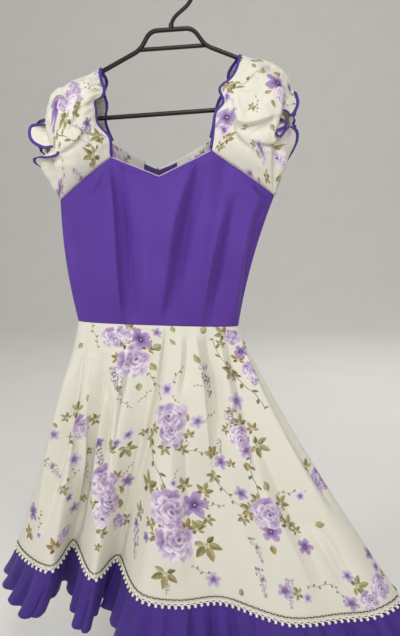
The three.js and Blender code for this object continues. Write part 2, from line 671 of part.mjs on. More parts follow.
function sleeveGrid(side) {
  const rows = side === "left" ? SLEEVE_LEFT : SLEEVE_RIGHT;
  const sign = side === "left" ? -1 : 1;
  const corner = 1 - Math.cos((Math.PI * BODICE.neckColumn) / BODICE.columns);
  const stations = [];
  for (let k = BODICE.neckColumn; k >= 1; k--) {
    const column = side === "left" ? k : BODICE.columns - k;
    const twin = 2 * BODICE.columns - column;
    stations.push({ across: 1 - (1 - Math.cos((Math.PI * k) / BODICE.columns)) / corner, column, twin });
  }
  const seamPoint = (column) => bodice.points[BODICE_TOP][column].clone().add(vec(0, 0, SLEEVE.lift));
  const base = [];
  for (let i = 0; i <= SLEEVE.arcs; i++)
    base.push(
      stations.map((s) =>
        sleeveSection(rows, side, s.across, seamPoint(s.column), seamPoint(s.twin), i / SLEEVE.arcs),
      ),
    );
  // The frill goes on past the cuff elastic and flares out of its loop
  const last = stations.length - 1;
  const loopCentre = vec(0, 0, 0);
  base.forEach((line) => loopCentre.add(line[last]));
  loopCentre.divideScalar(base.length);
  base.forEach((line, i) => {
    const open = Math.sin((Math.PI * i) / SLEEVE.arcs) ** CUFF_FRILL.taper;
    const wide = lerp(CUFF_FRILL.footWidth, CUFF_FRILL.width, open);
    const ring = line[last].clone().sub(loopCentre).normalize();
    const way = vec(sign, CUFF_FRILL.open * ring.y, -CUFF_FRILL.drop * Math.max(0, ring.z)).normalize();
    const elastic = line[last].clone();
    for (let k = 1; k <= CUFF_FRILL.columns; k++)
      line.push(elastic.clone().addScaledVector(way, (wide * k) / CUFF_FRILL.columns));
  });
  const grid = { points: base, normals: gridNormals(base, false, sign) };
  grid.points = moveAlong(grid, (r, c) => {
    const arc = r / SLEEVE.arcs;
    if (c > last) {
      const open = Math.sin(Math.PI * arc) ** CUFF_FRILL.taper;
      const height = (CUFF_FRILL.wave * open * (c - last)) / CUFF_FRILL.columns;
      return height * Math.cos(2 * Math.PI * CUFF_FRILL.waves * arc);
    }
    const across = stations[c].across;
    const overArm = 1 - Math.exp(-(((arc - 0.5) / 0.07) ** 2));
    return foldHeight(side, across, arc) * (1 - smooth(across, 0.8, 1)) * smooth(across, 0, 0.2) * overArm;
  });
  grid.normals = gridNormals(grid.points, false, sign);
  base[0].forEach((_, c) => {
    const s = stations[Math.min(c, last)];
    grid.normals[0][c].copy(bodice.normals[BODICE_TOP][s.column]);
    grid.normals[SLEEVE.arcs][c].copy(bodice.normals[BODICE_TOP][s.twin]);
  });
  return grid;
}

// A bound edge that goes on square to one side of a sleeve, away from the inner column
function binding(name, grid, edge, inner) {
  const lines = [];
  const normals = [];
  for (let r = 1; r < grid.points.length - 1; r++) {
    const spot = grid.points[r][edge];
    const normal = grid.normals[r][edge];
    const along = grid.points[r + 1][edge].clone().sub(grid.points[r - 1][edge]);
    const out = along.cross(normal).normalize();
    if (out.dot(spot.clone().sub(grid.points[r][inner])) < 0) out.negate();
    const edges = [BINDING.gap, BINDING.gap + BINDING.width];
    lines.push(edges.map((far) => spot.clone().addScaledVector(out, far)));
    normals.push([normal.clone(), normal.clone()]);
  }
  return piece(name, clothWall({ points: lines, normals }, BINDING.thick), PURPLE);
}

const dress = new THREE.Group();
dress.add(
  bodicePanel("bodice_front", frontColumns),
  bodicePanel("bodice_back", backColumns),
  neckFacing(),
  neckEdge(),
  label(),
  skirtPanel("skirt_front", 0, HALF),
  skirtPanel("skirt_back", HALF, SKIRT.columns),
  laceStrip("hem_lace_front", 0, HALF),
  laceStrip("hem_lace_back", HALF, SKIRT.columns),
  flouncePanel("flounce_front", 0, HALF),
  flouncePanel("flounce_back", HALF, SKIRT.columns),
);

for (const side of ["left", "right"]) {
  const grid = sleeveGrid(side);
  const edge = grid.points[0].length - 1;
  dress.add(
    piece("sleeve_" + side, clothWall(grid, CLOTH), FLOWERED),
    binding("neck_binding_" + side, grid, 0, 1),
    binding("cuff_binding_" + side, grid, edge, edge - 1),
  );
}

const hanger = new THREE.Group();
hanger.rotation.y = -TILT;
hanger.add(hangerFrame(), hangerHook());

const object = new THREE.Group();
object.add(dress, hanger);

export default object;
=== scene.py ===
"""A flared dance dress with flowered skirt and sleeves, on a black hanger.

Tables and surface functions are in millimetres, meshes in metres. +X is to the viewer's right,
the front faces -Y, and the origin is the inside top of the hanger's hook.
"""
import math

import bmesh
import bpy
import numpy as np
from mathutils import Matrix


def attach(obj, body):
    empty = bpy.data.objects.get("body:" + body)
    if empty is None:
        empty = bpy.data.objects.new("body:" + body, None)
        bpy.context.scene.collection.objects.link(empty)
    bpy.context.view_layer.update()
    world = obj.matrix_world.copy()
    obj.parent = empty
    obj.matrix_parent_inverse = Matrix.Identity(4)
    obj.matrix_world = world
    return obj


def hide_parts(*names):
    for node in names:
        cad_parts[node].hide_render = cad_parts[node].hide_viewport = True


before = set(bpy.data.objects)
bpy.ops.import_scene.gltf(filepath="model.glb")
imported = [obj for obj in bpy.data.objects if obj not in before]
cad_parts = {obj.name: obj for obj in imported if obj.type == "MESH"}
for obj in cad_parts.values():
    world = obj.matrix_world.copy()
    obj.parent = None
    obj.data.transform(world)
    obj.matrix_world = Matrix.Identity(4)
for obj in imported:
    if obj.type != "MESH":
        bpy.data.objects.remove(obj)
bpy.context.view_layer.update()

MM = 0.001


def table(columns, rows):
    """Rows with named columns, one to a line. A word alone heads the rows of one kind."""
    names, head, result = columns.split(), [], []
    for line in rows.strip().split("\n"):
        words = line.split()
        if len(words) == 1:
            head = words
            continue
        values = [word if word[0].isalpha() else float(word) for word in head + words]
        result.append(dict(zip(names, values)))
    return result


# Sizes of the cloth and its trimmings
CLOTH = 1.2
SEAM_GAP = 0.3
SEAM_SHARE = 0.002  # of a bodice panel's width, left free at each side seam
LEAST_SHARE = 0.31  # of its flat rectangle that a shaped cut fills
SIDES = ("front", "back")
BINDING = {"thick": 2.8, "width": 6}
TILT = math.radians(4)  # the hanger's right end hangs higher

HANGER = {
    "tube": 4.2,
    "hook_tube": 3.6,
    "centre": -12,
    "top_bar": {"z": -89.5, "half": 39, "bend": 14},
    "cross_bar": {"z": -121, "half": 59, "bend": 12},
    "end": {"z": -184, "half": 198, "bend": 24},
    "lower_bar": -236,
    "hook_radius": 30,
    "hook_start": -38,
    "hook_tip": 195,
    "neck": 21,
}

WAIST = {"centre": -33, "half": 151, "deep": 41, "z": -623.7, "slope": -0.032, "round": 2.6}
UNDERARM = {"left": (-213, -396), "right": (183, -386)}
NECK_FRONT = {"left": (-116, -319.5), "centre": (-28, -355), "right": (67, -308), "curve": 1.0}
NECK_BACK = {"left": (-120, -287), "centre": (-32, -331), "right": (67, -282), "curve": 1.2}
BODICE = {"neck_share": 0.3, "top_deep": 34, "swell": 17, "bow_left": -5, "bow_right": -7}
FACING = {"low": 0.9, "thick": 1.0}
LABEL = {"left": -62, "right": 3, "tall": 17, "thick": 0.8, "below": 4}

BODICE_FOLDS = table("name side top_x bottom_x width deep", """
left front -112 -92 13 5
middle front 44 -22 14 6
right front 92 50 12 5
ridge front -20 -58 18 -3
back_left back -90 -86 15 5
back_right back 48 24 15 5
""")

# Where each fold of the skirt comes at the hem, how long its cloth is, and how far out from it
# the flounce hangs. share runs along the waist: left to right in front, right to left behind.
HEM_FOLDS = table("name side share x y length out_x out_y", """
left_edge 0 0 -347 118 537 -15 52
lobe_one 0 0.13 -258 20 518 -22 -14
valley_one 0 0.24 -222 86 503 -6 0
lobe_two 0 0.37 -166 -10 514 -8 -22
valley_two 0 0.5 -122 50 512 -6 0
lobe_three 0 0.57 -74 -44 530 -6 -20
broad_front 0 0.64 0 -56 536 0 -20
dip_three 0 0.72 94 -42 536 2 -18
lobe_four 0 0.8 212 -92 564 6 -24
dip_four 0 0.87 312 -80 586 6 -18
lobe_five 0 0.93 376 -100 592 14 -24
right_edge 1 0 427 -58 604 34 -20
back_one 1 0.12 392 34 594 30 4
back_valley_one 1 0.21 318 10 575 16 8
back_two 1 0.31 282 112 575 14 22
back_valley_two 1 0.41 204 72 560 8 16
back_three 1 0.5 148 164 560 4 26
back_valley_three 1 0.59 70 108 550 2 18
back_four 1 0.68 -2 198 556 0 26
back_valley_four 1 0.77 -82 134 545 -4 18
back_five 1 0.86 -168 220 550 -10 28
back_valley_five 1 0.93 -244 156 540 -14 22
""")
SKIRT = {"flare": 1.15, "grid": (340, 115), "hoops": (690, 2300)}  # hoops: round waist and hem
FLOUNCE = {"length": 113, "pitch": 38, "wave": 8.5, "uneven": 0.3, "puckers": (15, 23, 31),
           "step": 3.2, "rows": 34}
LACE_SIZES = {"pitch": 12.5, "heading": 8, "thread": 0.9, "drop": 7, "bead": 2.9, "off": 1.5}

# Soft creases of the skirt. The place runs round the waist ring, 0 at the left seam, 0.5 at the
# right one; levels run from the waist, 0, to the hem, 1; a negative depth stands out as a ridge.
SKIRT_CREASES = table("place_top place_low level_top level_low width deep", """
0.095 0.086 0.02 0.75 16 5
0.135 0.128 0.04 0.8 13 -4
0.19 0.165 0.02 0.6 12 4
0.262 0.243 0.02 0.9 11 5
0.3 0.315 0.1 0.8 26 -4
0.36 0.352 0.03 0.9 18 6
0.405 0.385 0.02 0.7 15 5
0.45 0.425 0.1 0.95 20 -5
0.335 0.325 0.45 1 24 5
0.375 0.392 0.5 1 22 6
0.27 0.282 0.55 1 20 4
0.57 0.575 0.03 0.8 18 5
0.64 0.65 0.05 0.7 22 -5
0.71 0.7 0.03 0.9 17 5
0.79 0.78 0.04 0.8 20 5
0.85 0.87 0.05 0.75 18 -4
0.93 0.94 0.03 0.9 16 5
""")

# Sleeves. across runs from the neck edge, 0, to the cuff elastic, 1. lift is how far the ridge
# lies over the line of the hanger's arm, side how far the front view bows out, belly how far
# the cloth puffs forward, and turn how far the front is drawn in towards the bodice.
SLEEVE_ROWS = {"left": table("across peak_x lift side belly turn", """
0 -137 1.6 -14 10 0
0.2 -157 2 -12 30 0
0.4 -180 6 -12 42 3
0.6 -204 5.5 -15 46 9
0.8 -226 -7 -18 43 16
1 -238 -31 -14 34 22
"""), "right": table("across peak_x lift side belly turn", """
0 121 1.6 -3 10 0
0.2 141 3.2 1 30 0
0.4 163 8.5 6 44 3
0.6 185 7.5 11 48 9
0.8 203 -2 13 45 17
1 213 -21 7 36 26
""")}
SLEEVE = {"round": 2.4, "lift": 0.6, "back_turn": 0.25, "cuff": 0.987, "stations": 72, "arcs": 240}
GATHERS = {"deep": 1.6, "count": 31, "rumple": 1.5}
SIGN = {"left": -1, "right": 1}
FRILL = {
    "width": 23,
    "foot_width": 3,
    "taper": 1.3,
    "open": 0.9,
    "drop": 1.7,
    "wave": 7,
    "waves": 7,
    "bow": 9,
    "columns": 14,
}
# Folds on a sleeve, as ridges between two places: across, and arc from 0 in front to 1 behind
SLEEVE_FOLDS = table("side across0 arc0 across1 arc1 width height", """
right
0.15 0.33 0.75 0.22 0.07 9
0.1 0.42 0.6 0.46 0.06 -5
0.9 0.14 0.3 0.08 0.05 6
0.1 0.72 0.9 0.8 0.07 7
left
0.05 0.3 0.7 0.36 0.06 7
0.15 0.12 0.85 0.2 0.06 -6
0.95 0.28 0.45 0.22 0.05 6
0.1 0.72 0.9 0.8 0.07 7
""")

# Edge of each cuff frill on its front half, charted from the photograph: arc as above, across
# and down in its pixels, forward in millimetres, and how far the frill bows out before its edge.
# The lowest part turns under, out of sight. The back half has a plain wave.
FRILL_EDGE = {"left": table("arc across down forward bow", """
0 59 200 7 3
0.05 54 184 8 22
0.09 46 173 8 34
0.115 40 166 20 26
0.13 36 163 32 16
0.142 35 159 44 12
0.152 39 157 52 10
0.165 48 157 58 8
0.18 57 154 60 8
0.2 56 146 56 8
0.23 44 147 48 8
0.26 33 141 34 10
0.29 30 133 24 10
0.32 33 126 20 10
0.35 47 125 38 8
0.38 50 121 34 8
0.41 42 121 14 8
0.45 38 124 6 8
0.5 40 127 0 8
"""), "right": table("arc across down forward bow", """
0 275 195 7 3
0.04 277 184 10 20
0.08 283 169 8 40
0.11 289 157 18 30
0.14 296 142 34 12
0.165 296 131 46 10
0.185 288 127 58 8
0.2 280 136 62 8
0.212 276 131 64 8
0.225 285 126 58 8
0.24 283 119 57 8
0.255 270 118 62 6
0.27 271 111 60 6
0.29 285 110 52 8
0.31 291 115 44 8
0.345 297 105 30 10
0.39 296 96 15 10
0.45 294 92 5 8
0.5 293 91 0 8
""")}
# How far the neck edge of each sleeve wanders off its plain line, in millimetres
NECK_SHIFT = {"left": table("arc shift", """
0 0
0.025 9
0.05 12
0.08 1
0.1 -3
0.15 -1
0.19 -1
0.21 11
0.25 15
0.3 9
0.38 3
0.5 0
0.6 6
0.68 14
0.76 8
0.84 12
0.92 3
1 0
"""), "right": table("arc shift", """
0 0
0.05 -5
0.1 -9
0.13 -1
0.15 -3
0.19 -15
0.21 -12
0.23 -4
0.27 2
0.33 3
0.5 0
0.6 -6
0.7 -11
0.78 -3
0.87 -8
1 0
""")}

# Pressed and gathered creases, charted in the photograph's pixels as curves through four
# places. Seen along its way, a crease stands up by high on its left and sinks by low on its
# right, in millimetres; with high below zero and low above it, both sides sink to a groove.
# half is half the width of the slope between, and reach how far each side carries, in pixels.
# Hidden sides have like ones, charted as if seen through the dress.
CREASES = table("part x0 y0 x1 y1 x2 y2 x3 y3 high low half reach", """
bodice_front
112 166 119 210 122 262 128 323 16.2 17.6 6 13
203 161 183 212 174 262 166 323 13.5 13.5 7 14
230 198 222 238 214 275 206 323 12.2 13.5 5 11
262 200 251 235 244 275 238 315 8.1 9.5 4 8
104 170 101 180 97 188 92 197 4.1 4.1 2 6
252 186 257 193 262 198 270 203 4.1 5.4 1.5 5
66 215 71 245 76 275 84 310 4.1 4.1 3 6
150 200 148 240 149 280 152 318 2.7 2.7 5 9
bodice_back
120 180 126 225 128 270 132 323 5 6 6 12
178 190 176 230 172 275 176 323 5 6 7 12
226 190 220 235 214 280 204 323 5 6 5 10
sleeve_right
273 117 263 121 251 124 240 123 14 8 1 10
241 123 236 117 233 105 235 92 9 5 2 8
268 153 252 148 237 133 228 112 10 6 1 7
282 137 273 144 262 144 250 139 8 5 1 6
238 84 250 79 262 74 271 65 -7 -4 1 7
276 168 262 170 246 163 234 152 2 2 3 7
236 81 253 75 265 68 273 64 -10 10 0.4 2
235 100 233 124 245 127 268 119 -12 12 0.4 2
227 107 231 124 241 140 258 147 -11 11 0.4 2
249 141 259 144 271 145 283 140 -11 11 0.4 2
236 90 237 101 240 111 245 117 -9 9 1 3
240 87 247 88 254 87 261 83 -7 7 1 3
250 139 255 132 263 128 272 129 -9 9 1 2.5
262 130 267 135 274 137 281 134 4 3 1 3
sleeve_left
90 131 80 139 70 147 59 153 -9 9 0.4 2
88 128 90 136 93 144 95 150 -5 5 0.4 1.5
78 84 73 94 70 106 66 118 -4 4 1 2.5
86 128 79 138 70 147 57 154 9 6 1 9
62 88 65 104 61 119 54 130 6 6 2 6
76 80 78 98 74 116 66 132 5 6 2 6
87 133 89 140 91 147 93 153 3 2 1 4
80 159 68 163 55 163 43 166 -3 -2 2.5 6
sleeve_back
60 100 66 125 64 150 68 170 5 5 2 7
82 92 86 115 84 135 88 155 5 5 2 7
250 76 246 100 250 128 246 150 5 5 2 7
272 90 268 115 272 140 266 165 5 5 2 7
skirt_front
118 556 137 474 151 412 165 330 -9.5 -9.5 0.9 8
199 330 206 374 211 420 216 470 12.2 12.2 5 10
98 360 92 420 82 470 77 528 18.9 17.6 3.5 8
78 360 64 420 53 474 41 530 16.2 16.2 3.5 8
106 395 104 430 99 474 96 515 13.5 13.5 1.5 7
221 330 232 380 243 430 256 490 8.1 9.5 4 9
240 330 262 385 294 448 330 508 6.8 9.5 3 8
250 440 272 490 296 540 318 585 8.1 9.5 7 11
312 528 326 546 336 562 343 580 8.1 8.1 3 8
182 400 178 450 182 510 190 575 6.8 8.1 7 11
134 335 124 380 116 420 112 460 6.8 6.8 3 8
183 332 184 352 182 374 178 396 5.4 5.4 3 6
117 550 136 474 150 412 164 334 -5 5 0.5 2
90 420 88 455 84 490 79 528 -5 5 0.5 2.5
176 345 172 375 166 400 160 430 -3 3 0.5 3
skirt_back
118 540 128 470 136 400 140 330 -7 -7 2 8
182 330 186 400 192 470 200 560 8 8 5 10
214 330 234 400 262 470 296 560 7 8 4 10
92 340 78 410 64 470 52 530 7 8 3 8
""")

# Camera: level with the waist, a little above it, far enough for the photograph's mild
# perspective. The photograph's frame is 400 pixels wide and 636 tall.
CAMERA = {
    "place": (45.7, -1290.31, -456.67),
    "pitch_down": 7,
    "focal_pixels": 684.2,
    "frame": (400, 636),
    "sensor": 36,
}

# The stage, in metres: its floor, its wall behind, the bend between, its half width and its
# top. Each light has its place, its size and its power in watts.
STAGE = {"floor": -1.42, "wall": 9.0, "bend": 3.5, "half": 9.0, "top": 5.5}
LIGHTS = (
    ("key", (-2.2, -2.2, 0.75), 0.45, 138),
    ("fill", (0.35, -3.1, 0.35), 0.6, 82),
    ("top", (0.15, -1.7, 1.35), 0.5, 82),
    ("rear", (1.4, 3.0, 1.9), 0.9, 190),
)


# Small helpers


def lerp(a, b, f):
    return a + (b - a) * f


def smooth(x, low, high):
    f = np.clip((x - low) / (high - low), 0, 1)
    return f * f * (3 - 2 * f)


def length_of(v):
    return np.linalg.norm(v, axis=-1)


def unit(v):
    return v / np.maximum(length_of(v)[..., None], 1e-9)


def xyz(*parts):
    return np.stack(np.broadcast_arrays(*parts), axis=-1).astype(float)


def spline(rows, at, key, t, period=0):
    """Smooth curve through table rows, unevenly spaced. A period closes it on itself."""
    x = np.array([row[at] for row in rows], float)
    y = np.array([row[key] for row in rows], float)
    if period:
        x = np.concatenate([x[-2:] - period, x, x[:3] + period])
        y = np.concatenate([y[-2:], y, y[:3]])
    ends = (y[1] - y[0]) / (x[1] - x[0]), (y[-1] - y[-2]) / (x[-1] - x[-2])
    slopes = np.concatenate([ends[:1], (y[2:] - y[:-2]) / (x[2:] - x[:-2]), ends[1:]])
    i = np.clip(np.searchsorted(x, t, side="right") - 1, 0, len(x) - 2)
    span = x[i + 1] - x[i]
    f = (t - x[i]) / span
    start = (2 * f**3 - 3 * f**2 + 1) * y[i] + (f**3 - 2 * f**2 + f) * span * slopes[i]
    return start + (3 * f**2 - 2 * f**3) * y[i + 1] + (f**3 - f**2) * span * slopes[i + 1]


def roundness(across, power):
    return np.maximum(0, 1 - np.abs(across) ** power) ** (1 / power)


def grid_normals(points, sign):
    """Normals of a grid of points, from its rows and columns."""
    along = np.gradient(points, axis=1)
    down = np.gradient(points, axis=0)
    return sign * unit(np.cross(along, down))


def seam_normals(points, sign):
    """Normals of a grid whose first row is a seam, level along it."""
    normals = grid_normals(points, sign)
    normals[0] = unit(normals[0] * [1, 1, 0])
    return normals


def running_length(points, axis):
    """Distance along each row or column of a grid, from its first point."""
    steps = length_of(np.diff(points, axis=axis))
    start = np.zeros_like(np.take(steps, [0], axis=axis))
    return np.concatenate([start, np.cumsum(steps, axis=axis)], axis=axis)


def sheet_of(points, normals, **more):
    """A cloth grid, with each point's place in the cloth laid flat."""
    flat = np.stack([running_length(points, 1), running_length(points, 0)], axis=-1)
    return {"points": points, "normals": normals, "flat": flat, **more}


def seen_from_camera(points):
    """Pixel places of points in the photograph's frame, and how far they lie from the camera."""
    tip = math.radians(CAMERA["pitch_down"])
    away = points - np.array(CAMERA["place"])
    depth = away[..., 1] * math.cos(tip) - away[..., 2] * math.sin(tip)
    up = away[..., 1] * math.sin(tip) + away[..., 2] * math.cos(tip)
    wide, tall = CAMERA["frame"]
    scale = CAMERA["focal_pixels"] / depth
    return np.stack([wide / 2 + scale * away[..., 0], tall / 2 - scale * up], axis=-1), depth


def place_of_pixel(across, down, forward):
    """The place that the camera sees at a pixel, a known way forward of the hanger's plane."""
    tip = math.radians(CAMERA["pitch_down"])
    wide, tall = CAMERA["frame"]
    rise = (tall / 2 - down) / CAMERA["focal_pixels"]
    y = -forward - CAMERA["place"][1]
    z = y * (rise * math.cos(tip) - math.sin(tip)) / (math.cos(tip) + rise * math.sin(tip))
    depth = y * math.cos(tip) - z * math.sin(tip)
    x = (across - wide / 2) / CAMERA["focal_pixels"] * depth
    return xyz(x + CAMERA["place"][0], -forward, z + CAMERA["place"][2])


def pressed(part, points):
    """Height of a part's charted creases at each of its points."""
    pixels = seen_from_camera(points)[0]
    height = np.zeros(points.shape[:-1])
    for row in CREASES:
        if row["part"] != part:
            continue
        u = np.linspace(0, 1, 60)
        third = [0, 1 / 3, 2 / 3, 1]
        curve = [np.polyval(np.polyfit(third, [row[axis + str(k)] for k in range(4)], 3), u)
                 for axis in "xy"]
        best = np.full(height.shape, np.inf)
        side = np.zeros(height.shape)
        share = np.zeros(height.shape)
        way = [np.gradient(line) for line in curve]
        for k in range(len(u)):
            dx = pixels[..., 0] - curve[0][k]
            dy = pixels[..., 1] - curve[1][k]
            far = np.hypot(dx, dy)
            near = far < best
            cross = (way[0][k] * dy - way[1][k] * dx) / math.hypot(way[0][k], way[1][k])
            best = np.where(near, far, best)
            side = np.where(near, cross, side)
            share = np.where(near, u[k], share)
        past = np.sqrt(np.maximum(0, best**2 - side**2))
        half, reach = row["half"], row["reach"]
        up = row["high"] * np.exp(-(np.abs(side) - half) / reach)
        down = -row["low"] * np.exp(-(np.abs(side) - half) / reach)
        slope = lerp(-row["low"], row["high"], (side + half) / (2 * half))
        step = np.where(side > half, up, np.where(side < -half, down, slope))
        fade = np.sin(np.pi * np.clip(share, 0.02, 0.98)) ** 0.5 * np.exp(-((past / 5) ** 2))
        fade = fade * (1 - smooth(best, 3 * reach, 4 * reach))
        height = height + step * fade
    return height


# Surfaces of the dress


def waist_point(share, back):
    across = -np.cos(np.pi * share)
    x = WAIST["centre"] + WAIST["half"] * across
    y = WAIST["deep"] * roundness(across, WAIST["round"]) * np.where(back, 1, -1)
    return xyz(x, y, WAIST["z"] + WAIST["slope"] * (x - WAIST["centre"]))


def top_edge(share, back):
    """Top edge of the bodice at a share of the way from the left side seam to the right."""
    neck = NECK_BACK if back else NECK_FRONT
    corner = math.cos(math.pi * BODICE["neck_share"])
    across = -np.cos(np.pi * share)
    left = across < 0
    side = [np.where(left, neck["left"][k], neck["right"][k]) for k in (0, 1)]
    under = [np.where(left, UNDERARM["left"][k], UNDERARM["right"][k]) for k in (0, 1)]
    reach = np.abs(across) / corner
    f = (1 - np.abs(across)) / (1 - corner)
    x = np.where(reach > 1, lerp(under[0], side[0], f), lerp(neck["centre"][0], side[0], reach))
    dip = lerp(neck["centre"][1], side[1], reach ** neck["curve"])
    return x, np.where(reach > 1, lerp(under[1], side[1], f), dip)


def bodice_point(share, level, back):
    across = -np.cos(np.pi * share)
    low = waist_point(share, back)
    top_x, top_z = top_edge(share, back)
    bow = np.where(across < 0, BODICE["bow_left"], BODICE["bow_right"])
    x = lerp(low[..., 0], top_x, level) + bow * 4 * level * (1 - level) * np.abs(across) ** 3
    z = lerp(low[..., 2], top_z, level)
    deep = lerp(WAIST["deep"], BODICE["top_deep"], level) + BODICE["swell"] * np.sin(np.pi * level)
    y = deep * roundness(across, WAIST["round"])
    body = smooth(level, 0, 0.15) * (1 - across**6)
    for fold in BODICE_FOLDS:
        if (fold["side"] == "back") != back:
            continue
        away = (x - lerp(fold["bottom_x"], fold["top_x"], level)) / fold["width"]
        y = y - fold["deep"] * body * np.exp(-away * away)
    return xyz(x, y if back else -y, z)


for hem_row in HEM_FOLDS:
    hem_row["t"] = (hem_row["share"] + hem_row["side"]) / 2


def ring_share(t):
    """Share along the front or the back of the waist ring, and which of the two it is."""
    t = t % 1
    back = t > 0.5
    return np.where(back, 2 - 2 * t, 2 * t), back


def hem_point(t):
    waist = waist_point(*ring_share(t))
    x, y, length = (spline(HEM_FOLDS, "t", key, t % 1, 1) for key in ("x", "y", "length"))
    fall = np.sqrt(length**2 - (x - waist[..., 0]) ** 2 - (y - waist[..., 1]) ** 2)
    return waist, xyz(x, y, waist[..., 2] - fall), length


def skirt_point(t, level):
    waist, hem, _ = hem_point(t)
    out = level ** SKIRT["flare"]
    x = lerp(waist[..., 0], hem[..., 0], out)
    y = lerp(waist[..., 1], hem[..., 1], out)
    return xyz(x, y, lerp(waist[..., 2], hem[..., 2], level) - SEAM_GAP)


def skirt_crease(t, level, ring):
    """Depth of the soft creases at a place. ring is the length of the whole hoop there."""
    total = np.zeros_like(t)
    for crease in SKIRT_CREASES:
        f = np.clip((level - crease["level_top"]) / (crease["level_low"] - crease["level_top"]), 0, 1)
        away = (t - lerp(crease["place_top"], crease["place_low"], f)) * ring / crease["width"]
        fade = np.sin(np.pi * f) ** 0.7
        total = total + crease["deep"] * fade * np.exp(-away * away)
    return total


def hem_columns(start, end, count):
    """Places round the ring from start to end, spaced evenly by the cloth's mean width."""
    fine = np.linspace(start, end, 1200)
    hem = running_length(hem_point(fine)[1][None], 1)[0]
    waist = running_length(hem_point(fine)[0][None], 1)[0]
    mean = hem / hem[-1] + 0.35 * waist / waist[-1]
    return np.interp(np.linspace(0, mean[-1], count), mean, fine)


def skirt_grid(start, end, columns, rows):
    """Points, normals and flat cloth places of a skirt panel."""
    t = hem_columns(start, end, columns)
    margin = 4
    before = t[0] - (t[1] - t[0]) * np.arange(margin, 0, -1)
    after = t[-1] + (t[-1] - t[-2]) * np.arange(1, margin + 1)
    t_wide = np.concatenate([before, t, after])
    level = np.linspace(0, 1, rows)[:, None]
    t_grid, level_grid = np.broadcast_arrays(t_wide[None, :], level)
    points = skirt_point(t_grid, level_grid)
    normals = seam_normals(points, -1)
    ring = lerp(*SKIRT["hoops"], level_grid)
    keep = smooth(level_grid, 0, 0.06)
    points = points - normals * (skirt_crease(t_grid % 1, level_grid, ring) * keep)[..., None]
    part = "skirt_front" if end <= 0.5 else "skirt_back"
    keep = keep * (1 - smooth(level_grid, 0.97, 1))
    keep = keep * smooth(np.minimum(t_grid - start, end - t_grid), 0, 0.02)
    points = points + normals * (pressed(part, points) * keep)[..., None]
    normals = seam_normals(points, -1)
    inner = slice(margin, margin + columns)
    points, normals = points[:, inner], normals[:, inner]
    # Opened out flat, the panel is a sector of a ring
    along = running_length(points, 1)
    length = hem_point(t)[2]
    turn = (along[-1, -1] - along[0, -1]) / length.mean()
    inside = along[0, -1] / turn
    angle = turn * (along / along[:, -1:] - 0.5)
    radius = inside + level * length[None, :]
    flat = np.stack([radius * np.sin(angle), -radius * np.cos(angle)], axis=-1)
    return sheet_of(points, normals, flat=flat, turn=turn, inside=inside, length=length, t=t)


def arm_top(x, side):
    """Height of the top of the hanger's arm, carried on in a straight line past its ends."""
    inner, outer = (tilted(HANGER["centre"] + SIGN[side] * HANGER[bar]["half"], HANGER[bar]["z"])
                    for bar in ("cross_bar", "end"))
    slope = (outer[1] - inner[1]) / (outer[0] - inner[0])
    return inner[1] + slope * (x - inner[0]) + HANGER["tube"] * math.hypot(1, slope)


def tilted(x, z):
    return x * math.cos(TILT) - z * math.sin(TILT), x * math.sin(TILT) + z * math.cos(TILT)


def sleeve_section(side, across, foot, back_foot, arc):
    rows, sign = SLEEVE_ROWS[side], SIGN[side]
    angle = np.pi * arc
    rise = np.sin(angle) ** (2 / SLEEVE["round"])
    stay = np.abs(np.cos(angle)) ** (2 / SLEEVE["round"])
    peak_x = spline(rows, "across", "peak_x", across)
    peak_z = arm_top(peak_x, side) + spline(rows, "across", "lift", across)
    front = arc <= 0.5
    start = np.where(front[..., None], foot, back_foot)
    bulge = np.maximum(0, np.sin(np.pi * rise))
    turn = spline(rows, "across", "turn", across) * np.where(front, -1, SLEEVE["back_turn"]) * sign
    gather = spline(NECK_SHIFT[side], "arc", "shift", arc) * np.maximum(0, 1 - across / 0.35)
    x = lerp(start[..., 0], peak_x, rise) + gather * bulge**0.3
    x = x + (spline(rows, "across", "side", across) + turn) * bulge
    belly = spline(rows, "across", "belly", across) * bulge**0.8
    y = start[..., 1] * stay + np.where(front, -belly, belly)
    return xyz(x, y, lerp(start[..., 2], peak_z, rise))


def fold_height(side, across, arc):
    height = np.zeros_like(across)
    for fold in SLEEVE_FOLDS:
        if fold["side"] != side:
            continue
        dx = fold["across1"] - fold["across0"]
        dy = fold["arc1"] - fold["arc0"]
        reach = ((across - fold["across0"]) * dx + (arc - fold["arc0"]) * dy) / (dx * dx + dy * dy)
        f = np.clip(reach, 0, 1)
        away_x = (across - fold["across0"] - f * dx) * 0.6
        away = np.hypot(away_x, arc - fold["arc0"] - f * dy) / fold["width"]
        height = height + fold["height"] * np.exp(-away * away) * np.sin(np.pi * arc) ** 0.6
    return height


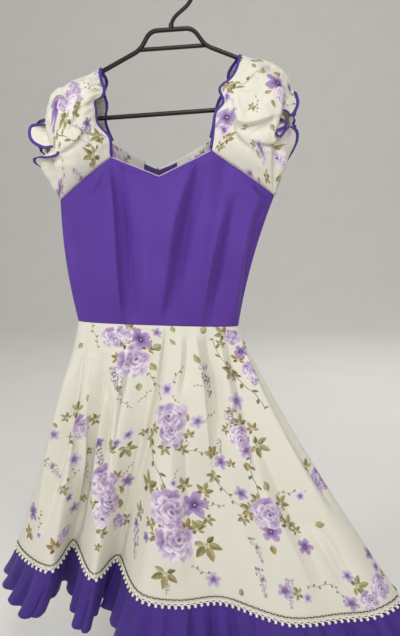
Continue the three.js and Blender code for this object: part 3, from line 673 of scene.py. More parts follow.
def sleeve_band(side, arc):
    """A sleeve from its neck edge to its cuff elastic, with its folds and gathers."""
    corner = 1 - math.cos(math.pi * BODICE["neck_share"])
    across = np.linspace(0, SLEEVE["cuff"], SLEEVE["stations"])
    share = np.arccos(1 - (1 - across) * corner) / np.pi
    if side == "right":
        share = 1 - share
    lift = np.array([0, 0, SLEEVE["lift"]])
    feet = [bodice_point(share, 1.0, back)[None] + lift for back in (False, True)]
    across, arc = np.broadcast_arrays(across[None, :], arc)
    base = sleeve_section(side, across, *feet, arc)
    normals = grid_normals(base, SIGN[side])
    fade = (1 - smooth(across, 0.8, 1)) * smooth(across, 0, 0.2)
    height = fold_height(side, across, arc) * fade * (1 - np.exp(-(((arc - 0.5) / 0.07) ** 2)))
    front = pressed("sleeve_" + side, base) * smooth(-arc, -0.48, -0.4)
    behind = pressed("sleeve_back", base) * smooth(arc, 0.55, 0.65)
    gathers = GATHERS["deep"] * np.sin(2 * np.pi * arc * GATHERS["count"] + 1.5 * np.sin(9 * arc))
    gathers = gathers * (smooth(across, 0.7, 1) + smooth(-across, -0.3, 0))
    rumples = GATHERS["rumple"] * np.sin(17 * across + 5 * np.sin(11 * arc))
    rumples = rumples * np.sin(29 * arc + 4 * np.sin(8 * across))
    gathers = (gathers + rumples) * smooth(np.abs(arc - 0.5), 0.05, 0.12)
    ends = np.sin(np.pi * arc) ** 0.5 * smooth(across, 0, 0.06)
    return base + normals * (height + (front + behind + gathers) * ends)[..., None]


def frill(side, elastic, arc):
    """The frill that goes on past the cuff elastic: charted in front, a plain wave behind."""
    open_ = np.sin(np.pi * arc) ** FRILL["taper"]
    behind = smooth(arc, 0.45, 0.53)
    wide = lerp(FRILL["foot_width"], FRILL["width"], open_) * lerp(1, 0.7, behind)
    ring = unit(elastic - elastic.mean(axis=0))
    drop = -FRILL["drop"] * np.maximum(0, ring[:, 2])
    way = unit(xyz(np.full(len(ring), SIGN[side]), FRILL["open"] * ring[:, 1], drop))
    out = unit(ring - way * (ring * way).sum(axis=1)[:, None])
    wave = FRILL["wave"] * open_ * np.cos(2 * np.pi * FRILL["waves"] * arc)
    wave = wave * smooth(arc, 0.52, 0.62)
    edge = elastic + way * wide[:, None] + out * wave[:, None]
    charted_edge = [spline(FRILL_EDGE[side], "arc", key, np.clip(arc, 0, 0.5))
                    for key in ("across", "down", "forward", "bow")]
    edge = lerp(place_of_pixel(*charted_edge[:3]), edge, behind[:, None])
    bend = elastic + way * lerp(charted_edge[3], FRILL["bow"], behind)[:, None]
    f = np.linspace(0, 1, FRILL["columns"] + 1)[None, 1:, None]
    return (1 - f) ** 2 * elastic[:, None] + 2 * f * (1 - f) * bend[:, None] + f * f * edge[:, None]


def sleeve_grid(side):
    arc = np.linspace(0, 1, SLEEVE["arcs"] + 1)
    base = sleeve_band(side, arc[:, None])
    points = np.concatenate([base, frill(side, base[:, -1], arc)], axis=1)
    flat = np.stack([running_length(points, 0), running_length(points, 1)], axis=-1)
    flat[..., 0] -= flat[len(flat) // 2, :, 0][None]
    return sheet_of(points, grid_normals(points, SIGN[side]), flat=flat)


def bodice_grid(back, columns=150, rows=110, share0=0.0, share1=1.0, level0=0.0):
    """A bodice panel, or a plain stretch of it from level0 up, a hair inside its side seams."""
    share = np.linspace(share0 + SEAM_SHARE, share1 - SEAM_SHARE, columns)[None, :]
    share, level = np.broadcast_arrays(share, np.linspace(level0, 1, rows)[:, None])
    sign = -1 if back else 1
    points = bodice_point(share, level, back)
    if level0 == 0:
        keep = smooth(level, 0, 0.05) * (1 - smooth(level, 0.95, 1))
        height = pressed("bodice_back" if back else "bodice_front", points) * keep
        height = height * smooth(np.minimum(share, 1 - share), 0, 0.08)
        points = points + grid_normals(points, sign) * height[..., None]
    return sheet_of(points, seam_normals(points, sign))


# Meshes


def add_object(name, data, place=(0, 0, 0)):
    item = bpy.data.objects.new(name, data)
    item.location = place
    bpy.context.scene.collection.objects.link(item)
    return item


NO_MOTIF = 9.0  # a local place far outside every motif


def object_from(name, vertices, faces, attributes=None):
    """A mesh object in metres from points in millimetres. Attributes are per face corner."""
    mesh = bpy.data.meshes.new(name)
    vertices = np.asarray(vertices, float) * MM
    mesh.from_pydata(vertices.tolist(), [], faces.tolist() if hasattr(faces, "tolist") else faces)
    for key, values in (attributes or {}).items():
        layer = mesh.attributes.new(key, "FLOAT_VECTOR", "CORNER")
        layer.data.foreach_set("vector", np.ascontiguousarray(values, np.float32).ravel())
    mesh.polygons.foreach_set("use_smooth", [True] * len(mesh.polygons))
    mesh.validate()
    mesh.update()
    return add_object(name, mesh)


def shell_faces(rows, cols):
    """Corners of the two sides and the rim of a sheet whose two layers hold rows x cols points."""
    r, c = np.meshgrid(np.arange(rows - 1), np.arange(cols - 1), indexing="ij")
    a = (r * cols + c).ravel()
    quad = np.stack([a, a + cols, a + cols + 1, a + 1], axis=1)
    under = rows * cols
    loop = [np.arange(cols), np.arange(rows) * cols + cols - 1]
    loop += [(rows - 1) * cols + np.arange(cols)[::-1], np.arange(rows)[::-1] * cols]
    border = np.concatenate([side[:-1] for side in loop])
    following = np.roll(border, -1)
    rim = np.stack([border, following, following + under, border + under], axis=1)
    return quad, quad[:, ::-1] + under, rim


def cloth_shell(name, grid, thick=CLOTH, offset=0.0, layers=None, wrong_side=(0, 1)):
    """A thin closed sheet round a grid of middle points, with its print's corner attributes."""
    points, normals = grid["points"], grid["normals"]
    rows, cols = points.shape[:2]
    outer = points + normals * (offset + thick / 2)
    inner = points + normals * (offset - thick / 2)
    vertices = np.concatenate([outer.reshape(-1, 3), inner.reshape(-1, 3)])
    quad, under, rim = shell_faces(rows, cols)
    flat = grid["flat"].reshape(-1, 2)
    blank = np.full((len(rim), 4, 3), NO_MOTIF)
    attributes = {}
    # The wrong side shows a paler print: the third number of the cloth place is 1 there
    places = [np.concatenate([flat[q % len(flat)], np.full(q.shape + (1,), side)], axis=2)
              for side, q in zip(wrong_side, (quad, under))]
    places.append(np.concatenate([flat[rim % len(flat)], np.ones(rim.shape + (1,))], axis=2))
    attributes["cloth_place"] = np.concatenate(places)
    for key, local in (layers or {}).items():
        attributes[key] = np.concatenate([local, local[:, ::-1], blank])
    faces = np.concatenate([quad, under, rim])
    corners = vertices[faces]
    split = np.cross(corners[:, 1], corners[:, 2]), np.cross(corners[:, 2], corners[:, 3])
    volume = (corners[:, 0] * (split[0] + split[1])).sum()
    if volume < 0:
        faces = faces[:, ::-1]
        attributes = {key: values[:, ::-1] for key, values in attributes.items()}
    return object_from(name, vertices, faces, attributes)


def strip_tube(name, spots, ups, outs, half_up, half_out, sides, uneven):
    """A rounded strip along points; ups and outs are its section's two directions."""
    angle = 2 * np.pi * (np.arange(sides) + 0.5) / sides
    wide, tall = (half * np.sign(side) * np.abs(side) ** 0.75
                  for half, side in ((half_out, np.cos(angle)), (half_up, np.sin(angle))))
    rings = spots[:, None] + outs[:, None] * wide[None, :, None]
    return tubes(name, [rings + ups[:, None] * (tall * uneven[:, None])[..., None]])


def turn_faces_out(piece):
    work = bmesh.new()
    work.from_mesh(piece.data)
    bmesh.ops.recalc_face_normals(work, faces=work.faces)
    work.to_mesh(piece.data)
    work.free()


def tubes(name, many, ring=False):
    """One mesh of many tubes, given as rings of points; each has flat ends or is itself a ring."""
    vertices, faces, start = [], [], 0
    for rings in many:
        count, sides = rings.shape[:2]
        i, k = np.meshgrid(np.arange(count if ring else count - 1), np.arange(sides), indexing="ij")
        j, m = (i + 1) % count, (k + 1) % sides
        quads = np.stack([i * sides + k, i * sides + m, j * sides + m, j * sides + k], -1)
        faces += (quads.reshape(-1, 4) + start).tolist()
        if not ring:
            faces.append([start + k for k in reversed(range(sides))])
            faces.append([start + (count - 1) * sides + k for k in range(sides)])
        vertices.append(rings.reshape(-1, 3))
        start += count * sides
    piece = object_from(name, np.concatenate(vertices), faces)
    turn_faces_out(piece)
    return piece


def round_rings(path, radius, sides, closed=False):
    """Rings of a round tube along a path, its sections turned as little as possible."""
    path = np.asarray(path, float)
    if closed:
        along = unit(np.roll(path, -1, axis=0) - np.roll(path, 1, axis=0))
    else:
        along = unit(np.gradient(path, axis=0))
    up = np.array([0.0, 1.0, 0.0]) if abs(along[0][1]) < 0.8 else np.array([1.0, 0.0, 0.0])
    rings = []
    angle = 2 * np.pi * np.arange(sides) / sides
    for spot, way in zip(path, along):
        side = unit(np.cross(way, up))
        up = unit(np.cross(side, way))
        ring = spot + radius * (np.cos(angle)[:, None] * side + np.sin(angle)[:, None] * up)
        rings.append(ring)
    return np.array(rings)


def hand_over(piece, material, nodes=()):
    """Gives a piece its material and slot and the body it rides on, and hides the imported parts it
    stands for.
    """
    piece.data.materials.clear()
    piece.data.materials.append(material)
    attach(piece, "root")
    for node in nodes:
        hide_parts(node)
    return piece


# Node helpers


class Reading:
    """One output of a node, which sums can be written with: each operator adds a math node."""

    def __init__(self, nodes, socket):
        self.nodes, self.socket = nodes, socket

    def __add__(self, other):
        return self.nodes.math("ADD", self, other)

    def __sub__(self, other):
        return self.nodes.math("SUBTRACT", self, other)

    def __rsub__(self, other):
        return self.nodes.math("SUBTRACT", other, self)

    def __mul__(self, other):
        return self.nodes.math("MULTIPLY", self, other)

    def __truediv__(self, other):
        return self.nodes.math("DIVIDE", self, other)

    def __pow__(self, power):
        return self.nodes.math("POWER", self, power)

    def __abs__(self):
        return self.nodes.math("ABSOLUTE", self)

    __rmul__ = __mul__

    def clamped(self):
        """The same sum, held between 0 and 1."""
        self.socket.node.use_clamp = True
        return self

    def beside(self, output):
        """Another output of the same node."""
        return Reading(self.nodes, self.socket.node.outputs[output])


class Nodes:
    """Short calls that add nodes to one tree. A colour may be given as its hex code."""

    def __init__(self, tree):
        self.tree = tree

    def put(self, socket, value):
        if isinstance(value, Reading):
            self.tree.links.new(value.socket, socket)
        elif value is not None:
            socket.default_value = colour(value) if isinstance(value, str) else value

    def add(self, kind, inputs, output=0, **settings):
        node = self.tree.nodes.new(kind)
        for key, value in settings.items():
            setattr(node, key, value)
        for key, value in inputs.items():
            self.put(node.inputs[key], value)
        return Reading(self, node.outputs[output])

    def math(self, operation, *values):
        return self.add("ShaderNodeMath", dict(enumerate(values)), operation=operation)

    def most(self, first, *others):
        for other in others:
            first = self.math("MAXIMUM", first, other)
        return first

    def step(self, value, low, high):
        """0 below low and 1 above high, smooth between; low may be the higher one."""
        inputs = dict(enumerate((value, low, high, 0.0, 1.0)))
        return self.add("ShaderNodeMapRange", inputs, interpolation_type="SMOOTHSTEP")

    def mix(self, factor, a, b):
        return self.add("ShaderNodeMix", {0: factor, 6: a, 7: b}, 2, data_type="RGBA")

    def split(self, vector):
        first = self.add("ShaderNodeSeparateXYZ", {0: vector})
        return [first.beside(k) for k in range(3)]

    def join(self, x, y, z):
        return self.add("ShaderNodeCombineXYZ", {0: x, 1: y, 2: z})

    def attribute(self, name):
        return self.add("ShaderNodeAttribute", {}, "Vector", attribute_name=name)

    def position(self):
        return self.add("ShaderNodeNewGeometry", {}, "Position")

    def noise(self, vector, scale, detail=2.0):
        inputs = {"Vector": vector, "Scale": scale, "Detail": detail}
        return self.add("ShaderNodeTexNoise", inputs, "Fac")

    def bump(self, height, strength, distance, normal=None):
        inputs = {"Strength": strength, "Distance": distance, "Height": height, "Normal": normal}
        return self.add("ShaderNodeBump", inputs)


def colour(code):
    """Linear colour from an sRGB hex code."""
    parts = [int(code[i:i + 2], 16) / 255 for i in (0, 2, 4)]
    return tuple([p / 12.92 if p <= 0.04045 else ((p + 0.055) / 1.055) ** 2.4 for p in parts] + [1.0])


def new_material(name, roughness, **constants):
    material = bpy.data.materials.new(name)
    material.use_nodes = True
    shader = material.node_tree.nodes["Principled BSDF"]
    shader.inputs["Roughness"].default_value = roughness
    for key, value in constants.items():
        shader.inputs[key.replace("_", " ")].default_value = value
    return material, Nodes(material.node_tree), shader.inputs


# The print: each layer draws one kind of motif round its own local place


def warped(n, name, amount):
    """A layer's local place, softly distorted so that no outline is mechanical."""
    place = n.attribute(name)
    x, y, tone = n.split(place)
    shift_x = n.noise(place, 2.4) * amount - amount / 2
    shift_y = n.noise(n.join(x + 5.3, y, tone), 2.4) * amount - amount / 2
    return x + shift_x, y + shift_y, tone


def polar(n, x, y):
    return n.math("SQRT", x * x + y * y), n.math("ARCTAN2", y, x)


def lobes(n, angle, power):
    """How far a round of petals reaches at an angle."""
    return abs(n.math("COSINE", angle)) ** power


ROSE_RINGS = table("edge petals phase depth shift_x shift_y", """
0.98 5 0.3 0.4 0 0
0.72 5 1.1 0.32 0.05 -0.06
0.47 4 0.2 0.24 0.09 -0.12
0.24 3 1.4 0.16 0.12 -0.17
""")


def rose_layer(n, name):
    """Four rings of petals, set off towards a heart, pale at their rims and dark in between."""
    x, y, tone = warped(n, name, 0.3)
    radius, angle = polar(n, x, y)
    streak = n.noise(n.join(angle * 4.0, radius, tone), 1.6)
    patches = n.noise(n.join(x, y, tone), 2.0) * 3.2 - 1.6
    shade = (x * 0.25 + (patches + tone)).clamped()
    rim = n.mix(shade, "EFE7EB", "B498BF")
    deep = n.mix(shade, "A38BB0", "644683")
    result, mask = rim, None
    for ring in ROSE_RINGS:
        away, turn = polar(n, x - ring["shift_x"], y - ring["shift_y"])
        lobe = lobes(n, turn * (ring["petals"] / 2) + ring["phase"], 0.45)
        edge = (lobe * 0.26 + 0.74) * ring["edge"]
        inside = n.step(away, edge, edge - 0.04)
        sunk = ((edge - away) / ring["depth"]).clamped()
        crease = n.step(lobe, 0.42, 0.12) * 0.7
        dark = (n.most(sunk**1.25, crease) * (streak * 1.3 + 0.25)).clamped()
        result = n.mix(inside, result, n.mix(dark, rim, deep))
        mask = mask or inside
    heart = n.step(away, 0.16, 0.05) * 0.75
    return mask, n.mix(heart, result, "6B3F63")


def bloom_layer(n, name):
    """An open flower of five petals round a dark eye."""
    x, y, tone = warped(n, name, 0.36)
    radius, angle = polar(n, x, y)
    lobe = lobes(n, angle * 2.5, 0.5)
    edge = lobe * 0.56 + 0.42
    mask = n.step(radius, edge, edge - 0.06)
    streak = n.noise(n.join(angle * 7.0, radius, tone), 1.5)
    fade = (streak * 0.7 + radius / edge - 0.35).clamped()
    petal = n.mix(tone, "E7DDE6", "9C7DB1")
    throat = n.mix(tone, "9A80B0", "5D3A86")
    result = n.mix(n.step(fade, 0.1, 0.85), throat, petal)
    result = n.mix(n.step(lobe, 0.45, 0.1), result, throat)
    result = n.mix(n.step(radius, 0.26, 0.12), result, "4B2C60")
    return mask, n.mix(n.step(radius, 0.09, 0.04), result, "CDBFA4")


LEAFLETS = table("turn near far wide shade", """
94 0.16 1 0.3 0.1
38 0.16 0.94 0.28 0.5
152 0.14 0.9 0.27 0.3
-16 0.12 0.72 0.23 0.05
210 0.1 0.64 0.21 0.65
""")


def leaf_layer(n, name):
    """A spray of leaflets on short stalks, or one leaf where the tone is 2 or more."""
    x, y, tone = warped(n, name, 0.1)
    single = n.math("GREATER_THAN", tone, 1.5)
    warmth = tone - single * 2.0
    patch = n.noise(n.join(x, y, tone), 3.5) * 0.8 - 0.4
    mask, shade = 0.0, 0.0
    for index, leaflet in enumerate(LEAFLETS):
        near, far = leaflet["near"], leaflet["far"]
        turn = math.radians(leaflet["turn"])
        along = x * math.cos(turn) + y * math.sin(turn)
        side = x * -math.sin(turn) + y * math.cos(turn)
        aside = abs(side)
        share = ((along - near) / (far - near)).clamped()
        half = share**0.55 * ((1.0 - share) ** 0.85 * 2.0) * leaflet["wide"]
        if index == 0:
            half = half * (single * 0.4 + 1.0)
        blade = n.step(aside, half, half - 0.05)
        stalk = n.step(aside, 0.04, 0.015) * n.step(along, -0.02, 0.04)
        stalk = stalk * n.step(along, near + 0.2, near)
        inside = n.most(blade, stalk * 0.8)
        if index:
            inside = inside * (1.0 - single)
        rib = n.step(aside, 0.03, 0.0) * 0.5
        rim = n.step(aside, half * 0.6, half * 0.95) * 0.7
        lower = n.step(side, 0.02, -0.06) * 0.4
        own = (n.most(rib, lower, rim) + (patch + leaflet["shade"])).clamped()
        shade = own * inside + shade * (1.0 - inside)
        mask = n.most(mask, inside)
    light = n.mix(warmth, "B4B385", "B2985E")
    return mask, n.mix(shade, light, n.mix(warmth, "62643A", "5A4526"))


def spike_layer(n, name):
    """A loose lavender spike: small florets of mixed shades, crowded round a thin stalk."""
    x, y, tone = warped(n, name, 0.4)
    inputs = {"Vector": n.join(x, y, tone * 3.0), "Scale": 5.6}
    cells = n.add("ShaderNodeTexVoronoi", inputs, "Distance")
    own, leafy, _ = n.split(cells.beside("Color"))
    half = x * -0.13 + (x * x * -0.14 + 0.36)
    crowd = n.step(abs(y), half, half - 0.1)
    florets = n.step(cells, 0.6, 0.46) * crowd * n.step(own, 0.12, 0.2)
    stalk = n.step(abs(y), 0.03, 0.012)
    paint = n.mix(own, n.mix(tone, "6A5B84", "5C4585"), "BFADD0")
    paint = n.mix(n.step(leafy, 0.7, 0.76), paint, "77764E")
    mask = n.most(florets, stalk) * n.step(abs(x), 1.0, 0.85)
    return mask, n.mix(florets, "77734F", paint)


def stem_layer(n, name):
    """A thin curved stem with small leaves on alternate sides."""
    x, y, tone = warped(n, name, 0.05)
    side = y - n.math("SINE", x * 2.6) * 0.12
    line = n.step(abs(side), 0.022, 0.008)
    count = x * 2.6 + 8.0
    turn = n.math("GREATER_THAN", n.math("MODULO", count, 2.0), 1.0) * -2.0 + 1.0
    run = (n.math("FRACT", count) - 0.35) * (1 / 2.6)
    out = side * turn
    along = run * 0.62 + out * 0.78
    aside = run * -0.78 + out * 0.62
    share = (along / 0.26).clamped()
    half = share * (1.0 - share) * 0.28
    leaf = n.step(abs(aside), half, half - 0.02)
    mask = n.most(line, leaf) * n.step(abs(x), 1.0, 0.96)
    return mask, n.mix(tone, "8B8966", "6B6044")


# Each kind of motif: its name, what draws it, how far it reaches along and across in its own
# sizes, how many layers it may overlap in, and how much larger it is than its chart's size.
KINDS = [
    dict(zip(("kind", "draw", "along", "across", "layers", "grow"), row))
    for row in (
        ("stem", stem_layer, 1.0, 0.4, 1, 1.25),
        ("leaf", leaf_layer, 1.1, 1.1, 2, 1.5),
        ("spike", spike_layer, 1.1, 0.5, 1, 1.05),
        ("bloom", bloom_layer, 1.15, 1.15, 1, 1.2),
        ("rose", rose_layer, 1.2, 1.2, 2, 1.15),
    )
]


# Where the motifs lie. The front ones are charted: across and down are the motif's place
# in the photograph, in its pixels; size is half the motif's real length in millimetres.
SKIRT_CHART = table("kind across down size turn tone", """
rose
110 337 19 0 0.45
123 333 15 40 0.35
132 361 31 80 0.4
82 426 25 30 0.45
161 416 20 30 0.25
171 419 28 200 0.6
171 434 23 120 0.55
233 338 15 10 0.7
250 372 18 60 0.35
241 438 22 0 0.3
83 432 18 0 0.4
104 481 34 20 0.4
110 505 24 90 0.7
99 517 22 30 0
67 532 17 0 0.5
119 522 16 10 0.6
167 510 38 10 0.5
178 543 38 100 0.4
266 514 29 30 0.55
319 478 22 50 0.75
381 586 23 0 0.35
369 600 18 60 0.45
64 534 16 0 0.5
106 498 18 60 0.1
bloom
140 339 19 20 0.9
132 362 15 10 0.95
156 333 9 0 0.6
166 389 16 30 0.2
177 442 13 0 0.8
199 422 12 10 0.5
242 351 12 0 0.9
237 400 16 30 0.55
246 449 13 40 0.6
54 436 12 0 0.4
75 460 15 50 0.35
33 511 18 10 0.9
75 507 14 70 0.6
129 434 14 0 0.2
129 481 13 0 0.8
196 505 23 15 0.85
145 536 10 0 0.8
174 483 9 0 0.2
221 461 13 10 0.7
241 494 13 -20 0.7
270 532 19 20 0.8
299 497 12 40 0.15
306 546 15 10 0.85
214 580 14 20 0.55
285 590 14 0 0.7
308 598 10 30 0.4
347 575 11 0 0.6
352 603 14 0 0.7
369 552 13 0 0.8
375 566 13 30 0.3
116 444 7 0 0.8
118 520 13 0 0.9
256 378 10 0 0.6
98 444 9 20 1
70 497 8 0 0.9
136 522 9 0 0.9
38 536 9 0 0.2
leaf
129 329 12 20 0.5
83 343 11 95 2.2
154 350 15 -60 2.3
156 371 15 30 2.2
140 382 13 180 2.2
88 405 15 10 2.4
78 411 16 30 0.2
97 419 12 60 0.5
151 438 18 110 0.6
186 424 13 0 2.3
164 448 13 160 0.5
173 333 10 20 2.1
175 345 10 30 2.1
201 334 13 -30 2.2
201 364 14 25 2.3
224 335 14 60 0.5
239 361 12 10 0.7
232 369 17 150 0.6
231 408 10 200 0.4
254 388 14 10 2.3
240 424 15 0 0.5
257 444 19 260 0.3
247 461 13 195 2.7
70 438 13 60 0.3
57 429 9 0 2.5
62 488 12 180 0.2
29 530 15 190 2.7
108 449 15 -20 0.4
122 508 20 0 2.9
118 496 18 40 2.6
101 534 13 -60 0.5
125 493 18 20 2.8
89 488 15 10 0.6
128 448 17 190 0.3
148 487 24 0 0.6
163 490 10 0 2.3
192 521 17 250 2.5
207 545 25 200 0.45
204 492 15 -20 0.35
140 514 17 60 0.2
155 535 15 190 0.3
214 455 12 40 0.2
215 476 13 150 0.2
208 519 12 200 0.4
250 510 16 130 0.5
270 491 15 30 2.2
281 504 15 -30 0.4
288 525 16 -20 0.6
271 545 14 190 2.8
297 530 11 20 0.2
314 525 15 -60 2
307 467 13 60 0.3
165 574 23 170 0.4
240 597 12 0 2.6
300 594 12 100 0.3
355 585 18 -70 0.3
124 344 14 30 0.9
146 348 14 -40 0.6
118 357 11 120 0.7
150 345 10 60 0.2
182 451 11 -40 0.4
188 436 10 20 0.6
155 427 12 150 0.8
186 487 15 30 0.4
187 529 18 -30 0.9
158 496 18 120 0.5
150 521 15 190 0.5
159 530 13 230 0.7
196 531 15 10 0.6
117 478 12 0 0.5
92 503 13 150 0.4
56 549 18 0 0.9
29 533 15 60 0.8
44 428 9 0 0.8
225 430 9 120 0.5
252 430 12 40 0.3
213 451 11 100 0.3
230 466 9 10 0.8
257 501 13 120 0.6
279 519 12 0 0.5
243 517 12 190 0.4
246 345 9 100 0.7
222 345 9 0 0.3
385 574 12 0 0.5
68 418 10 30 0.1
90 419 8 100 0.8
90 452 8 60 0.5
84 500 9 20 0.2
128 520 13 80 0.7
206 503 10 60 0.2
143 434 9 30 0.6
100 549 8 40 0.8
stem
94 335 22 70 0.3
123 402 18 -50 0.4
158 384 26 -60 0.6
174 378 24 50 0.4
205 419 22 25 0.3
191 452 26 -10 0.5
156 468 46 -65 0.8
204 386 14 10 0.4
222 361 34 120 0.6
246 388 40 -45 0.7
255 481 38 -80 0.7
75 472 20 60 0.6
66 484 30 5 0.3
40 522 20 50 0.5
128 470 15 30 0.4
210 505 24 10 0.5
225 491 34 -50 0.5
236 503 30 -40 0.7
290 492 22 10 0.4
206 574 24 150 0.5
322 585 26 5 0.3
340 595 20 -60 0.6
170 396 16 -40 0.8
146 396 14 40 0.6
88 470 14 60 0.7
120 391 14 -70 0.9
176 476 12 60 0.7
184 436 16 -50 0.8
spike
116 381 32 -80 0.5
208 382 34 -70 0.3
229 424 26 -60 0.9
53 470 28 -75 0.7
100 458 26 -80 0.8
135 541 34 -85 0.6
219 446 16 -70 0.8
257 551 26 -60 0.7
168 590 12 -90 0.6
262 582 30 -70 0.7
290 600 20 -80 0.7
289 592 24 -80 0.5
""")
SLEEVE_CHART = table("kind across down size turn tone", """
rose
73 91 17 0 0.35
67 104 16 30 0.15
285 98 20 50 0.2
279 160 18 0 0
bloom
57 103 20 30 1
88 124 9 0 0.9
73 83 10 0 0.6
59 191 12 0 0.8
279 83 21 0 0.95
291 88 9 40 0.7
226 97 12 0 0.2
227 119 20 20 0.75
223 130 12 60 0.3
260 146 13 0 0.35
250 174 10 0 0.3
leaf
62 94 15 0 2.6
79 100 10 190 0.3
75 109 13 190 0.1
66 119 16 10 0.2
101 138 9 10 0.5
54 137 10 70 0.6
99 138 13 -60 0.3
95 155 17 20 0.5
93 163 11 60 2.2
60 187 11 60 0.9
62 146 9 -60 2.2
250 63 8 30 2.6
259 72 9 -30 2.1
232 82 13 100 0.7
228 88 9 20 0.9
273 70 12 10 2.3
279 71 10 60 2.9
265 94 9 -80 2.3
271 99 9 10 2.7
253 105 8 120 0.2
271 124 11 0 2.2
243 127 8 0 0.3
226 139 12 -30 0.5
219 146 9 20 0.3
252 144 8 40 0.8
275 151 13 -70 2.8
256 158 12 -80 2.1
266 176 10 10 0.6
276 182 14 -30 2.7
258 176 8 30 2.5
stem
86 82 13 20 0.9
95 90 11 70 0.9
83 87 14 60 0.7
76 140 34 40 0.5
63 173 18 -40 0.6
51 141 14 70 0.5
260 70 12 60 0.7
253 76 34 25 0.6
257 102 13 -20 0.7
264 152 16 5 0.4
spike
84 130 20 60 0.6
79 176 24 35 0.7
""")

# The repeat for cloth that isn't charted: a bunch, and the sprigs scattered between bunches
BUNCH = table("kind x y size turn tone", """
rose
0 0 34 0 0.5
12 -62 32 90 0.4
bloom
54 8 21 20 0.85
-70 -34 11 0 0.8
leaf
-38 40 22 20 0.6
62 -58 22 200 0.45
66 34 15 -30 0.35
-48 -16 16 60 0.2
-26 -56 15 150 0.3
stem
20 62 40 100 0.7
104 6 36 10 0.5
spike
-62 -78 30 -80 0.6
""")
SCATTER = table("kind x y size turn tone", """
bloom
0 0 14 20 0.5
stem
22 10 26 30 0.4
leaf
-22 12 14 40 0.4
30 -22 11 190 2.4
spike
8 -36 24 -75 0.6
""")


# How that repeat is strewn over the neck's facing, the skirt's back and the sleeves' backs
STREWN = {
    "facing": {"seed": 5, "spacing": 105, "scale": 0.42},
    "skirt": {"seed": 11, "spacing": 230, "scale": 0.95},
    "sleeve": {"spacing": 105, "scale": 0.55},
}


def charted(grid, chart):
    """Motifs of a chart that lie on a panel, each at the panel's nearest place in sight."""
    pixels, depth = seen_from_camera(grid["points"])
    motifs = []
    for row in chart:
        away = np.hypot(pixels[..., 0] - row["across"], pixels[..., 1] - row["down"])
        if away.min() > 4:
            continue
        near = np.where(away < max(1.5, away.min() + 0.5), depth, np.inf)
        spot = np.unravel_index(np.argmin(near), near.shape)
        motifs.append(dict(row, centre=grid["flat"][spot]))
    return motifs


def strewn(grid, seed, spacing, scale, keep_clear=()):
    """Bunches and scattered sprigs over a whole panel, on a jittered lattice of its flat cloth."""
    random = np.random.default_rng(seed)
    flat = grid["flat"].reshape(-1, 2)
    low, high = flat.min(axis=0), flat.max(axis=0)
    motifs = []
    for row, y in enumerate(np.arange(low[1], high[1] + spacing, spacing * 0.8)):
        for x in np.arange(low[0] + (row % 2) * spacing / 2, high[0] + spacing, spacing):
            for offset, group in ((0.0, BUNCH), (0.5, SCATTER)):
                jitter = random.uniform(-0.12, 0.12, 2) * spacing
                centre = np.array([x + offset * spacing, y]) + jitter
                turn = random.uniform(0, 360)
                cos, sin = math.cos(math.radians(turn)), math.sin(math.radians(turn))
                for item in group:
                    shift = np.array([item["x"] * cos - item["y"] * sin,
                                      item["x"] * sin + item["y"] * cos]) * scale
                    spot = centre + shift
                    if any(length_of(spot - other["centre"]) < other["size"] + item["size"] * 0.7
                           for other in keep_clear):
                        continue
                    motifs.append(dict(item, centre=spot, turn=item["turn"] + turn,
                                       size=item["size"] * scale))
    return motifs


def dealt(kind, motifs):
    """A kind's motifs, each grown to size and dealt to the first layer where it lies clear."""
    layers = [[] for _ in range(kind["layers"])]
    for motif in motifs:
        if motif["kind"] != kind["kind"]:
            continue
        motif = dict(motif, size=motif["size"] * kind["grow"])
        for layer in layers:
            if all(length_of(motif["centre"] - other["centre"]) > motif["size"] + other["size"]
                   for other in layer):
                break
        layer.append(motif)
    return layers


def layer_name(kind, index):
    return "print_%s_%d" % (kind["kind"], index)


def print_layers(grid, motifs):
    """Each layer's local place at every face corner: the nearest motif's, or far outside any."""
    rows, cols = grid["flat"].shape[:2]
    quad = shell_faces(rows, cols)[0]
    corners = grid["flat"].reshape(-1, 2)[quad]
    centres = corners.mean(axis=1)
    result = {}
    for kind in KINDS:
        for index, layer in enumerate(dealt(kind, motifs)):
            local = np.full(corners.shape[:2] + (3,), NO_MOTIF)
            nearest = np.full(len(corners), np.inf)
            for motif in layer:
                size = motif["size"]
                close = np.nonzero(length_of(centres - motif["centre"]) < size * 1.6 + 8)[0]
                if not len(close):
                    continue
                turn = math.radians(motif["turn"])
                away = (corners[close] - motif["centre"]) / size
                x = away[..., 0] * math.cos(turn) + away[..., 1] * math.sin(turn)
                y = away[..., 1] * math.cos(turn) - away[..., 0] * math.sin(turn)
                covers = np.abs(x).min(axis=1) < kind["along"]
                covers &= np.abs(y).min(axis=1) < kind["across"]
                far = np.hypot(x.mean(axis=1) / kind["along"], y.mean(axis=1) / kind["across"])
                better = covers & (far < nearest[close])
                chosen = close[better]
                nearest[chosen] = far[better]
                tone = np.full(x.shape, motif["tone"])
                local[chosen] = np.stack([x, y, tone], axis=-1)[better]
            result[layer_name(kind, index)] = local
    return result


# Materials


def cloth_finish(n, inputs, base, pitch, cloudy, deep):
    """Base colour with soft unevenness, a fine plain weave and small dents."""
    u, v, _ = n.split(n.attribute("cloth_place"))
    spot = n.position()
    cloud = n.noise(spot, 9.0, 3.0)
    slub = n.noise(n.join(u, 0.0, 0.0), 1.4, 1.0)
    uneven = n.step(cloud * 0.75 + slub * 0.25, 0.35, 0.7) * cloudy
    n.put(inputs["Base Color"], n.mix(uneven, base, deep))
    warp, weft = (n.math("SINE", way * (2 * math.pi / pitch)) for way in (u, v))
    dents = n.bump(n.noise(spot, 55.0), 0.22, 0.0012)
    n.put(inputs["Normal"], n.bump(warp * weft, 0.25, 0.0002, dents))
    n.put(inputs["Roughness"], cloud * 0.12 + 0.7)


